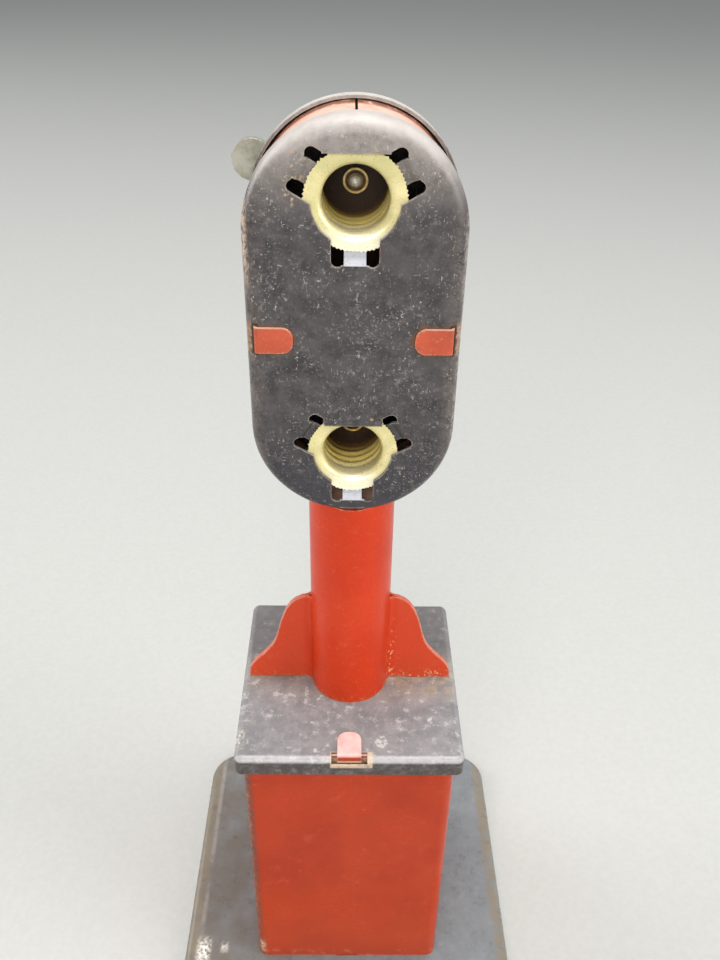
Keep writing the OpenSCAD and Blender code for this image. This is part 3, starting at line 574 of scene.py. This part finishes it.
def zinc(name):
    """Zinc-plated steel gone dull and greenish grey, with bright nicks on its edges."""
    f = Finish(name)
    patches = f.noise(1.6, detail=5.0, rough=0.65)
    colour = f.mix(f.step(patches, 0.3, 0.7), *ZINC_TONES)
    bloom = f.step(f.noise(4.5, detail=4.0), 0.45, 0.7, 0.0, 0.6)
    colour = f.mix(bloom, colour, ZINC_BLOOM)
    rusty = f.flecks(4.0, 0.5, 0.3, ragged=1.0)
    colour = f.mix(f.times(rusty, 0.7), colour, ZINC_RUST)
    worn = f.times(f.edges(0.3, 0.04, 0.3), f.step(f.noise(0.8), 0.35, 0.6))
    colour = f.mix(worn, colour, ZINC_BRIGHT)
    rough = f.blend(worn, f.step(patches, 0.3, 0.7, 0.58, 0.42), 0.25)
    metal = f.blend(f.most(bloom, rusty), 0.8, 0.35)
    return f.finish(colour, rough, metallic=metal, height=patches, depth=0.02)


def solder(name):
    """Tin-lead solder, bright with a dull skin in places."""
    f = Finish(name)
    patches = f.noise(0.5, detail=3.0)
    colour = f.mix(f.step(patches, 0.35, 0.7), *SOLDER_TONES)
    rough = f.step(patches, 0.35, 0.7, 0.40, 0.55)
    return f.finish(colour, rough, metallic=0.35, height=patches, depth=0.03, round_edge=0.08)


def fibre(name, shade=1.0):
    """Vulcanised fibre board: dark brown with short felted fibres. shade darkens it."""
    f = Finish(name, specular=0.30)
    strands = f.noise(0.35, detail=4.0, rough=0.7, stretch=(3.0, 1.0, 1.0), twist=0.6)
    cross = f.noise(0.5, detail=4.0, rough=0.7, stretch=(1.0, 1.0, 3.0), twist=0.6)
    felt = f.calc("MULTIPLY", f.calc("ADD", strands, cross), 0.5)
    dark, pale = (tuple(shade * channel for channel in tone) for tone in FIBRE_TONES)
    colour = f.mix(f.step(felt, 0.35, 0.65), dark, pale)
    worn = f.times(f.edges(0.25, 0.05, 0.3), f.step(f.noise(0.6), 0.4, 0.6))
    colour = f.mix(f.times(worn, 0.6), colour, FIBRE_EDGE)
    return f.finish(colour, f.step(felt, 0.3, 0.7, 0.45, 0.65), height=felt, depth=0.03)


# Rise of the card tube's seam in one turn, in millimetres
CARD_PITCH = 22.0


def card(name):
    """Grey-brown wound card with fibres and a spiral seam."""
    f = Finish(name, specular=0.25)
    strands = f.noise(0.6, detail=5.0, rough=0.75, stretch=(3.0, 3.0, 1.0), twist=0.5)
    colour = f.mix(f.step(strands, 0.3, 0.7), *CARD_TONES)
    turn = f.calc("ARCTAN2", f.y, f.x)
    wind = f.calc("ADD", f.times(f.z, 1 / CARD_PITCH), f.times(turn, 1 / (2 * math.pi)))
    seam = f.step(f.calc("PINGPONG", wind, 0.5), 0.0, 0.018, 1.0, 0.0)
    colour = f.mix(f.times(seam, 0.6), colour, CARD_SEAM)
    specks = f.flecks(2.0, 0.25, 0.4)
    colour = f.mix(f.times(specks, 0.6), colour, CARD_SPECK)
    height = f.calc("SUBTRACT", f.times(strands, 0.5), seam)
    return f.finish(colour, 0.85, height=height, depth=0.06)


def printed_paper(name, low, high):
    """Varnished paper round the dry cell: plain blue with a cream band near each end.

    low and high are the heights of its ends, in millimetres.
    """
    f = Finish(name, coat_roughness=0.25)
    strands = f.noise(0.5, detail=5.0, rough=0.7, stretch=(2.0, 2.0, 1.0))
    blue = f.mix(f.step(strands, 0.3, 0.7), *PAPER_BLUES)
    end = f.calc("MINIMUM", f.calc("SUBTRACT", f.z, low), f.calc("SUBTRACT", high, f.z))
    cream = f.times(f.step(end, 5.0, 5.15), f.step(end, 8.0, 8.15, 1.0, 0.0))
    colour = f.mix(cream, blue, PAPER_CREAM)
    rubbed = f.times(f.edges(0.5, 0.04, 0.3), f.step(f.noise(1.0), 0.4, 0.6))
    stain = f.step(f.noise(6.0, detail=4.0), 0.5, 0.75, 0.0, 0.45)
    colour = f.mix(stain, colour, PAPER_STAIN)
    colour = f.mix(rubbed, colour, PAPER_RUBBED)
    return f.finish(colour, 0.45, height=strands, depth=0.02, coat=0.25)


def pitch(name):
    """Black sealing pitch, glossy with ripples and dust."""
    f = Finish(name)
    ripple = f.noise(2.5, detail=2.0)
    dusty = f.step(f.noise(1.0, detail=5.0, rough=0.7), 0.5, 0.75, 0.0, 0.5)
    colour = f.mix(dusty, PITCH_BLACK, PITCH_DUST)
    rough = f.blend(dusty, 0.18, 0.6)
    return f.finish(colour, rough, height=ripple, depth=0.25)


def filling(name):
    """Pressed carbon mix: dull black grains."""
    f = Finish(name, specular=0.3)
    grains = f.noise(0.4, detail=5.0, rough=0.8)
    colour = f.mix(f.step(grains, 0.4, 0.7), *CARBON_TONES)
    return f.finish(colour, 0.85, height=grains, depth=0.12)


def cotton(name, main, tracer):
    """Braided cotton covering: two sets of strands that cross, one of them with a tracer colour.

    The strands follow the wire's height and depth and its angle round the mast.
    """
    f = Finish(name, specular=0.2)
    turn = f.calc("ARCTAN2", f.y, f.x)
    along = f.calc("ADD", f.times(f.z, 2.4), f.times(f.y, 1.1))
    one = f.calc("SINE", f.calc("ADD", f.times(along, 3.0), f.times(turn, 9.0)))
    two = f.calc("SINE", f.calc("SUBTRACT", f.times(along, 3.0), f.times(turn, 9.0)))
    over = f.most(one, two)
    fuzz = f.noise(0.16, detail=3.0, rough=0.7)
    gaps = tuple(0.35 * channel for channel in main)
    colour = f.mix(f.step(over, -0.2, 0.9, 0.7, 0.0), main, gaps)
    colour = f.mix(f.step(two, 0.75, 0.98, 0.0, 0.6), colour, tracer)
    colour = f.mix(f.step(fuzz, 0.45, 0.75, 0.0, 0.3), colour, COTTON_FUZZ)
    height = f.calc("ADD", over, f.times(fuzz, 0.6))
    return f.finish(colour, 0.9, height=height, depth=0.10, round_edge=0.05)


def floor_paper(name):
    """Plain pale paper."""
    f = Finish(name, specular=0.2)
    fine = f.noise(1.5, detail=4.0)
    colour = f.mix(f.step(fine, 0.3, 0.7), *FLOOR_TONES)
    return f.finish(colour, 0.8, height=fine, depth=0.05)


# ---- Meshes ----


def new_piece(name, mesh, material, body, nodes):
    """A smooth-shaded piece in the row frame that stands for CAD nodes."""
    mesh.normal_update()
    data = bpy.data.meshes.new(name)
    mesh.to_mesh(data)
    mesh.free()
    data.polygons.foreach_set("use_smooth", [True] * len(data.polygons))
    data.materials.append(material)
    piece = bpy.data.objects.new(name, data)
    bpy.context.scene.collection.objects.link(piece)
    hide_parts(*nodes)
    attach(piece, body)
    return piece


def lathe(mesh, outline, count):
    """Skins rings round the Y axis, one ring for each point of the outline.

    A point is a function of the angle that gives (radius, y).
    """
    rings = []
    for point in outline:
        ring = []
        for k in range(count):
            angle = 2 * math.pi * k / count
            radius, y = point(angle)
            ring.append(mesh.verts.new((radius * math.sin(angle), y, radius * math.cos(angle))))
        rings.append(ring)
    for first, second in zip(rings, rings[1:] + rings[:1]):
        for k in range(count):
            after = (k + 1) % count
            mesh.faces.new((first[k], first[after], second[after], second[k]))


# Rolled thread: pitch, depth, start behind the mouth, end before the bottom, and the length it fades over
THREAD_PITCH = 1.81 * MM
THREAD_DEPTH = 0.38 * MM
THREAD_START = 2.3 * MM
THREAD_END = 1.6 * MM
THREAD_FADE = 0.8 * MM
# Shell: sheet, radius of the mouth, start and depth of the turned-in bottom, and the sheet left there
SHELL_SHEET = 0.26 * MM
MOUTH_ROUND = 1.25 * MM
TURN_IN_START = 0.75 * MM
TURN_IN = 0.5 * MM
BOTTOM_SKIN = 0.25 * MM
# Ragged flange: the teeth round it, their depth and the depth of its slower waves
TEETH = 76
TOOTH = 0.30 * MM
TORN = 0.14 * MM
# Rings along the wall, the gap from the mouth to the first, steps round the mouth, and points for each tooth
WALL_RINGS = 64
WALL_GAP = 0.2 * MM
MOUTH_STEPS = 6
TOOTH_POINTS = 4


def socket_piece(name, material, seed):
    """Lamp socket of thin brass: ragged flange, flared mouth, rolled screw thread and turned-in bottom.

    name is the CAD node that it stands for.
    """
    low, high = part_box(name)
    centre = middle(name)
    mouth_y = low.y
    bottom_y = high.y
    flange = (high.x - low.x) / 2
    bore = MOUNTS["upper_lamp_socket"]["dims"]["r_mm"] * MM
    dice = random.Random(seed)
    ragged = [dice.uniform(0.2, 1.0) for _ in range(TEETH)]
    sway = [dice.uniform(0, 2 * math.pi) for _ in range(3)]

    def flange_edge(angle):
        """Radius of the flange's ragged edge."""
        turn = angle / (2 * math.pi) * TEETH
        tooth = int(turn) % TEETH
        rise = 1 - abs(2 * (turn - int(turn)) - 1)
        wave = sum(math.sin((k + 2) * angle + sway[k]) for k in range(3)) / 3
        return flange - TOOTH - TORN + TOOTH * ragged[tooth] * rise + TORN * wave

    def flat(share, y):
        """Point on the flat flange: at its inner edge for a share of 0, and at its ragged edge for 1."""
        inner = bore + MOUTH_ROUND
        return lambda angle: (inner + share * (flange_edge(angle) - inner), y)

    def thread(y):
        """Radius of the bore at y, as a function of the angle."""
        fade_in = min(max((y - mouth_y - THREAD_START) / THREAD_FADE, 0), 1)
        fade_out = min(max((bottom_y - THREAD_END - y) / THREAD_FADE, 0), 1)

        def radius(angle):
            phase = 2 * math.pi * (y - mouth_y) / THREAD_PITCH + angle
            return bore + THREAD_DEPTH * fade_in * fade_out * (0.5 - 0.5 * math.cos(phase))

        return radius

    def skin(offset, bottom):
        """Outline of one side of the sheet, from the flange's edge to the turned-in bottom.

        offset is how far the side lies outside the bore, and bottom is the y where it ends.
        """
        front = mouth_y + offset
        points = [flat(share, front) for share in (1.0, 0.97, 0.6, 0.2)]
        bend = MOUTH_ROUND - offset
        for i in range(MOUTH_STEPS + 1):
            turn = math.pi / 2 * i / MOUTH_STEPS
            radius = bore + MOUTH_ROUND - bend * math.sin(turn)
            y = mouth_y + MOUTH_ROUND - bend * math.cos(turn)
            points.append(lambda angle, radius=radius, y=y: (radius, y))
        start = mouth_y + MOUTH_ROUND + WALL_GAP
        end = bottom_y - TURN_IN_START
        for i in range(WALL_RINGS + 1):
            y = start + (end - start) * i / WALL_RINGS
            wall = thread(y)
            points.append(lambda angle, y=y, wall=wall: (wall(angle) + offset, y))
        for share in (0.3, 0.8, 1.0):
            turn = math.pi / 2 * share
            radius = bore + offset - (TURN_IN + offset) * (1 - math.cos(turn))
            y = end + (bottom - end) * math.sin(turn)
            points.append(lambda angle, radius=radius, y=y: (radius, y))
        return points

    mesh = bmesh.new()
    inside = skin(0.0, bottom_y - BOTTOM_SKIN)
    outside = skin(SHELL_SHEET, bottom_y)
    lathe(mesh, inside + outside[::-1], TOOTH_POINTS * TEETH)
    bmesh.ops.translate(mesh, verts=mesh.verts, vec=(centre.x, 0, centre.z))
    bmesh.ops.recalc_face_normals(mesh, faces=mesh.faces)
    return new_piece(name + "_shell", mesh, material, "signal", [name])


def make_floor():
    """A plain square of paper on the ground."""
    mesh = bmesh.new()
    bmesh.ops.create_grid(mesh, x_segments=8, y_segments=8, size=FLOOR_HALF)
    data = bpy.data.meshes.new("floor")
    mesh.to_mesh(data)
    mesh.free()
    data.materials.append(floor_paper("floor_paper"))
    floor = bpy.data.objects.new("floor", data)
    bpy.context.scene.collection.objects.link(floor)


# ---- Wear, painted light and painted shade at known places: masks of a finish f, in millimetres ----


def near(f, axis, place, inner, outer):
    """Mask round one value of a coordinate: full up to inner millimetres away, and gone at outer."""
    return f.step(f.calc("ABSOLUTE", f.calc("SUBTRACT", axis, place)), inner, outer, 1.0, 0.0)


def box_darkening(f):
    """Darker down the left corners of the box, and painted shade in a band beneath its lid."""
    corner = f.times(f.step(f.x, 2.0 - WALL, 1.0 - WALL), f.step(f.y, 4.0 - WALL, 1.5 - WALL),
                     f.step(f.noise(5.0, detail=3.0), 0.3, 0.5, 0.6, 1.0))
    # Painted shade in a band beneath the lid's edge
    lid_shade = f.times(f.step(f.z, LID_EDGE - 2.3, LID_EDGE + 0.2), 0.4)
    return f.most(corner, lid_shade)


def box_bare(f):
    """Tan undercoat inside the lid's notches, a bright knocked spot at the lower left corner, and a paler
    foot that is painted light offsetting the shade near the base.
    """
    ragged = f.noise(1.2, detail=4.0)
    notch = f.times(f.step(f.z, LID_EDGE + 0.2, LID_EDGE + 1.0), f.step(f.z, LID_TOP - 0.7, LID_TOP - 1.1),
                    f.step(ragged, 0.25, 0.5, 0.5, 0.95))
    fine = f.noise(0.6, detail=5.0, rough=0.7)
    pale_spot = f.times(near(f, f.x, 1.2 - WALL, 0.2, 1.0), near(f, f.z, BASE_TOP + 3.6, 1.0, 3.2),
                    f.step(f.y, 2.0 - WALL, 1.0 - WALL), f.step(fine, 0.42, 0.60, 0.1, 0.9))
    line = f.times(f.step(f.x, 1.1 - WALL, 0.5 - WALL), f.step(f.y, 2.5 - WALL, 1.4 - WALL),
                   f.step(fine, 0.56, 0.66), 0.7)
    rub = f.times(near(f, f.z, BASE_TOP + 1.2, 0.3, 2.4), f.step(f.noise(2.2, detail=4.0), 0.55, 0.66), 0.4)
    # Paler towards the foot: painted light that offsets the shade near the base
    low = f.step(f.z, BASE_TOP + 39.0, BASE_TOP + 3.0, 0.0, 0.22)
    return (
        (low, (0.62, 0.125, 0.060)),
        (notch, (0.50, 0.34, 0.22)),
        (rub, (0.60, 0.20, 0.12)),
        (line, (0.62, 0.42, 0.30)),
        (pale_spot, (0.80, 0.58, 0.42)),
    )


def mast_bare(f):
    """Ochre chips by the right seam and at the right wing's foot, paler wings and their worn curves."""
    seam = f.times(near(f, f.x, TUBE + 0.4, 0.4, 1.5), f.step(f.z, LID_TOP + 20.0, LID_TOP + 4.0))
    foot = f.times(f.step(f.z, LID_TOP + 3.0, LID_TOP + 0.2), f.step(f.x, 6.0, 12.0, 0.25, 1.0))
    chips = f.times(f.most(seam, foot), f.step(f.noise(0.7, detail=4.0, rough=0.65), 0.56, 0.63))
    base = f.times(f.step(f.z, LID_TOP + 0.9, LID_TOP + 0.1),
                   f.step(f.noise(1.1, detail=4.0), 0.44, 0.56), 0.8)
    out = f.calc("ABSOLUTE", f.x)
    curve = f.times(f.edges(0.55, 0.03, 0.2), f.step(out, TUBE + 0.7, TUBE + 1.7),
                    f.step(f.z, LID_TOP + 0.4, LID_TOP + 2.0),
                    f.step(f.noise(1.6, detail=4.0, rough=0.7), 0.34, 0.58, 0.15, 0.85))
    wing = f.step(out, TUBE + 0.3, TUBE + 2.1, 0.0, 0.22)
    return (
        (wing, (0.64, 0.125, 0.065)),
        (curve, (0.60, 0.40, 0.31)),
        (f.times(chips, 0.8), (0.80, 0.46, 0.25)),
        (base, (0.30, 0.13, 0.06)),
    )


def tabs_bare(f):
    """Brown haze at the plate's edges, an outline of rust and painted shade round the side tabs, a painted
    shadow for the slots they pass through, and the worn rim of the plate outside them.
    """
    ragged = f.noise(0.8, detail=4.0, rough=0.65)
    across = f.calc("ABSOLUTE", f.x)
    level = f.calc("ABSOLUTE", f.calc("SUBTRACT", f.z, TAB_LEVEL))
    past = f.calc("MAXIMUM", f.calc("SUBTRACT", PLATE_HALF - TAB_REACH, across), 0.0)
    away = f.calc("SQRT", f.calc("ADD", f.times(past, past), f.times(level, level)))
    away = f.calc("ADD", away, f.times(f.calc("SUBTRACT", ragged, 0.5), 2.4))
    # Painted shadow of the slot that each side tab passes through
    slot_shade = f.times(near(f, across, PLATE_HALF - 1.4, 0.45, 0.75), f.step(level, 2.9, 2.3))
    rim = f.times(f.step(across, PLATE_HALF - 1.1, PLATE_HALF - 0.8), f.step(level, 3.2, 2.0),
                  f.step(ragged, 0.40, 0.60, 0.10, 0.85))
    haze = f.times(f.step(across, PLATE_HALF - 3.7, PLATE_HALF - 0.1),
                   f.step(f.noise(1.3, detail=5.0, rough=0.7), 0.35, 0.62), 0.45,
                   f.step(f.z, LAMP_HIGH + 2.5, LAMP_HIGH - 5.5))
    return (
        (haze, (0.205, 0.165, 0.135)),
        # Outline of rust and painted shade round each side tab
        (f.times(f.step(away, 2.70, 2.42), 0.85), (0.13, 0.062, 0.032)),
        (f.times(slot_shade, 0.9), (0.035, 0.016, 0.010)),
        (rim, (0.40, 0.26, 0.16)),
    )


def head_bare(f):
    """The tabs' wear and painted shade, pale lower tongues, ochre at the upper left windows, and rims at both
    sides that are worn and carry a painted reflection.
    """
    ragged = f.noise(0.8, detail=4.0, rough=0.65)
    across = f.calc("ABSOLUTE", f.x)
    window = f.times(near(f, f.x, -9.0, 0.6, 2.6), near(f, f.z, LAMP_HIGH + 3.0, 2.0, 4.6),
                     f.step(ragged, 0.56, 0.63))
    bent = f.most(f.step(f.facing_z, 0.03, 0.15), f.step(f.y, PLATE_FACE + 0.2, PLATE_FACE + 0.5))
    below = f.most(*(near(f, f.z, lamp - 8.3, 2.8, 3.2) for lamp in (LAMP_HIGH, LAMP_LOW)))
    tongue = f.times(f.step(across, 2.2, 2.0), bent, below, f.step(ragged, 0.25, 0.55, 0.75, 1.0))
    # Worn rims at both sides, which also carry a painted reflection
    left = f.times(f.step(f.x, 1.3 - PLATE_HALF, 0.4 - PLATE_HALF),
                   f.step(f.z, LAMP_HIGH - 16.5, LAMP_HIGH - 7.5), f.step(ragged, 0.38, 0.56))
    right = f.times(f.step(f.x, PLATE_HALF - 0.9, PLATE_HALF - 0.2), f.step(ragged, 0.42, 0.60))
    return (
        *tabs_bare(f),
        (f.times(window, 0.85), (0.60, 0.42, 0.25)),
        (f.times(left, 0.75), (0.62, 0.45, 0.34)),
        (f.times(right, 0.5), (0.45, 0.41, 0.36)),
        (tongue, (0.46, 0.47, 0.51)),
    )


def band_bare(f):
    """Painted shade in the gap along the back plate's rim on top of the head, and a little along the front
    plate's.
    """
    ragged = f.noise(1.3, detail=5.0, rough=0.7)
    back = f.times(f.step(f.y, BACK_RIM - 3.4, BACK_RIM - 1.6), f.step(ragged, 0.72, 0.50))
    front = f.times(f.step(f.y, FRONT_RIM + 1.4, FRONT_RIM + 0.1), f.step(ragged, 0.40, 0.62), 0.6)
    high = f.step(f.z, LAMP_HIGH - 11.5, LAMP_HIGH - 3.5)
    # Painted shade in the gaps where the band meets the plates' rims
    return ((f.times(f.most(back, front), high, 0.9), (0.16, 0.045, 0.018)),)


def lid_bare(f):
    """Dark skirt and back, a painted highlight along the front bend, tan edges of the notches and a chalky
    knocked spot at the left edge.
    """
    ragged = f.noise(1.0, detail=4.0, rough=0.65)
    patchy = f.step(f.noise(1.6, detail=5.0, rough=0.7), 0.42, 0.66, 1.0, 0.6)
    skirt = f.times(f.step(f.z, LID_TOP - 0.7, LID_TOP - 1.3), patchy)
    # Painted highlight along the lid's front bend, fainter along its sides
    side = f.step(f.calc("ABSOLUTE", f.x), LID_HALF - 1.3, LID_HALF - 0.6, 0.0, 0.3)
    bend = f.times(f.most(f.step(f.y, 1.5 - LID_HALF, 0.8 - LID_HALF), side), f.step(f.facing_z, 0.2, 0.5),
                   f.step(ragged, 0.3, 0.6, 0.5, 1.0))
    notch = f.times(near(f, f.x, 0.4, 3.9, 4.3), f.step(f.calc("ABSOLUTE", f.y), WALL - 0.8, WALL - 0.4),
                    f.step(f.z, LID_TOP - 2.4, LID_TOP - 2.0), f.step(ragged, 0.3, 0.5, 0.4, 0.9))
    fine = f.noise(0.6, detail=5.0, rough=0.7)
    pale_spot = f.times(f.step(f.x, 2.1 - LID_HALF, 0.9 - LID_HALF), near(f, f.y, 5.5 - LID_HALF, 0.8, 3.4),
                    f.step(fine, 0.44, 0.62, 0.0, 0.85))
    behind = f.step(f.y, 1.0, 9.0, 0.0, 0.62)
    return (
        (behind, (0.085, 0.074, 0.074)),
        (f.times(skirt, 0.92), (0.046, 0.033, 0.028)),
        (f.times(bend, 0.55), (0.52, 0.49, 0.50)),
        (notch, (0.56, 0.43, 0.31)),
        (pale_spot, (0.68, 0.65, 0.56)),
    )


def lid_stain(f):
    """Dirt on the lid: round the foot of the mast, and more of it to the right."""
    foot = f.step(f.calc("ABSOLUTE", f.y), 2.0, 9.0, 1.0, 0.0)
    return f.times(foot, f.step(f.x, -16.0, 12.0, 0.35, 1.0))


def base_bare(f):
    """Painted glints at the front left of the base, a worn rim, a painted highlight along the bend at its
    inner edge, and a browner, darker left half.
    """
    fine = f.noise(0.8, detail=5.0, rough=0.7)
    # Painted glints at the front left of the base, on faces that look up
    large = f.times(near(f, f.x, 4.35 - BASE_HALF, 0.4, 2.4), near(f, f.y, 1.0 - WALL, 0.8, 4.4))
    small = f.times(near(f, f.x, 9.35 - BASE_HALF, 0.2, 1.4), near(f, f.y, 1.8 - WALL, 0.3, 1.8), 0.7)
    upper = f.step(f.facing_z, 0.3, 0.6)
    pale_spot = f.times(f.most(large, small), f.step(fine, 0.38, 0.60, 0.0, 0.9), upper)
    out = f.calc("ABSOLUTE", f.x)
    rim = f.times(f.step(out, BASE_HALF - 3.55, BASE_HALF - 2.35),
                  f.step(f.noise(3.0, detail=4.0), 0.35, 0.6, 0.4, 0.9))
    # Painted highlight along the bend at the inner edge of the rim
    line = f.times(near(f, f.x, 3.35 - BASE_HALF, 0.1, 0.9),
                   f.step(f.noise(4.0, detail=4.0), 0.40, 0.60, 0.1, 0.45), upper)
    # Browner and darker towards the left
    darkening = f.times(f.step(f.x, 5.0, -30.0), f.step(f.noise(7.0, detail=4.0), 0.25, 0.65, 0.3, 1.0), 0.85)
    return (
        (darkening, (0.130, 0.108, 0.086)),
        (rim, (0.20, 0.17, 0.125)),
        (line, (0.36, 0.33, 0.30)),
        (pale_spot, (0.90, 0.88, 0.80)),
    )


# ---- Which node gets which finish ----


def paint(material, *nodes):
    """Gives CAD nodes a material."""
    for node in nodes:
        data = NODES[node].data
        data.materials.clear()
        data.materials.append(material)


def paint_enamel():
    """The painted sheet: the base, lid and head plates in black, and the box, mast and band in red."""
    shadow = (LAMP_LOW + 14.5, LAMP_LOW - 9.5, HEAD_SHADOW)
    front_top = (LAMP_HIGH - 4.5, LAMP_HIGH + 11.5, FRONT_CROWN)
    back_top = (LAMP_HIGH - 2.5, LAMP_HIGH + 11.5, BACK_CROWN)
    front = black_enamel("black_enamel_head", *HEAD_BLACK, film_and_sheen=0.8, top=front_top, low=shadow,
                         bare_spots=head_bare)
    back = black_enamel("black_enamel_back", *HEAD_BLACK, film_and_sheen=0.8, worn=BACK_EDGE, top=back_top, low=shadow,
                        bare_spots=tabs_bare)
    lid = black_enamel("black_enamel_lid", *LID_GREY_AND_SHEEN, speckle=0.5, blotch=0.95, film_and_sheen=0.22, stain=lid_stain,
                       bare_spots=lid_bare)
    base = black_enamel("black_enamel_base", *BASE_GREY_AND_SHEEN, speckle=0.12, blotch=0.15, film_and_sheen=0.1, worn=BASE_EDGE,
                        bare_spots=base_bare)
    box = red_enamel("red_enamel_box", *BOX_RED, chips=0.06, grime=0.15, veil_and_sheen=0.95, chalk_and_sheen=BOX_CHALK_AND_SHEEN,
                     grime_and_shade=box_darkening, bare_spots=box_bare)
    mast = red_enamel("red_enamel_mast", *MAST_RED, chips=0.25, grime=0.1, bare_spots=mast_bare)
    band = red_enamel("red_enamel_head", *HEAD_RED, chips=0.5, grime=0.6, veil_and_sheen=0.9, chalk_and_sheen=BAND_CHALK_AND_SHEEN,
                      bare_spots=band_bare)
    paint(front, "head_front_plate")
    paint(back, "head_back_plate")
    paint(lid, "box_lid")
    paint(base, "base_plate")
    paint(box, "box_body")
    paint(mast, "mast_front_shell", "mast_rear_shell")
    paint(band, "head_band")


def paint_metal():
    """Zinc plate, brass and solder."""
    paint(zinc("zinc_plate"), "switch_lever", "battery_door", "door_hinge_pin", "door_leaf_rivets",
          "positive_strip_rivets", "contact_board_rivets", "cell_can")
    for node in ("contact_eyelet_upper", "contact_eyelet_lower"):
        low, high = span(node)
        paint(eyelet("brass_" + node, (low.z + high.z) / 2, EYELET_HOLE, (high.x - low.x) / 2), node)
    paint(brass("contact_brass", CONTACT_TONE), "contact_stud_left", "contact_stud_right", "feed_tag",
          "positive_strip", "door_contact_leaf", "lever_wiper", "lever_pivot", "lever_spring_washer",
          "cell_cap")
    paint(solder("solder"), "contact_tip_upper", "contact_tip_lower")


def paint_insulation():
    """Fibre, card, the dry cell's paper, filling and pitch, and the cotton on the wires."""
    # The insulators at the bottom of the lamp sockets are darkened as painted shade
    paint(fibre("socket_fibre", shade=0.4), "insulator_upper", "insulator_lower")
    paint(fibre("brown_fibre"), "pivot_bush", "pivot_bush_washer", "contact_board", "top_board")
    paint(card("card_tube"), "cell_tube")
    low, high = span("cell_jacket")
    paint(printed_paper("paper_jacket", low.z, high.z), "cell_jacket")
    paint(filling("cell_filling"), "cell_core")
    paint(pitch("pitch_seal"), "cell_seal")
    paint(cotton("wire_tan", COTTON_CREAM, COTTON_BROWN), "wire_battery")
    paint(cotton("wire_red", COTTON_RED, COTTON_CREAM), "wire_upper_lamp")
    paint(cotton("wire_green", COTTON_GREEN, COTTON_CREAM), "wire_lower_lamp")


make_camera()
make_lights()
make_floor()
paint_enamel()
paint_metal()
paint_insulation()
low, high = span("socket_upper")
shell_brass = brass("socket_brass", SOCKET_TONE, tarnish=0.35, deep=(low.y + MOUTH_DEPTH, high.y))
socket_piece("socket_upper", shell_brass, seed=3)
socket_piece("socket_lower", shell_brass, seed=8)
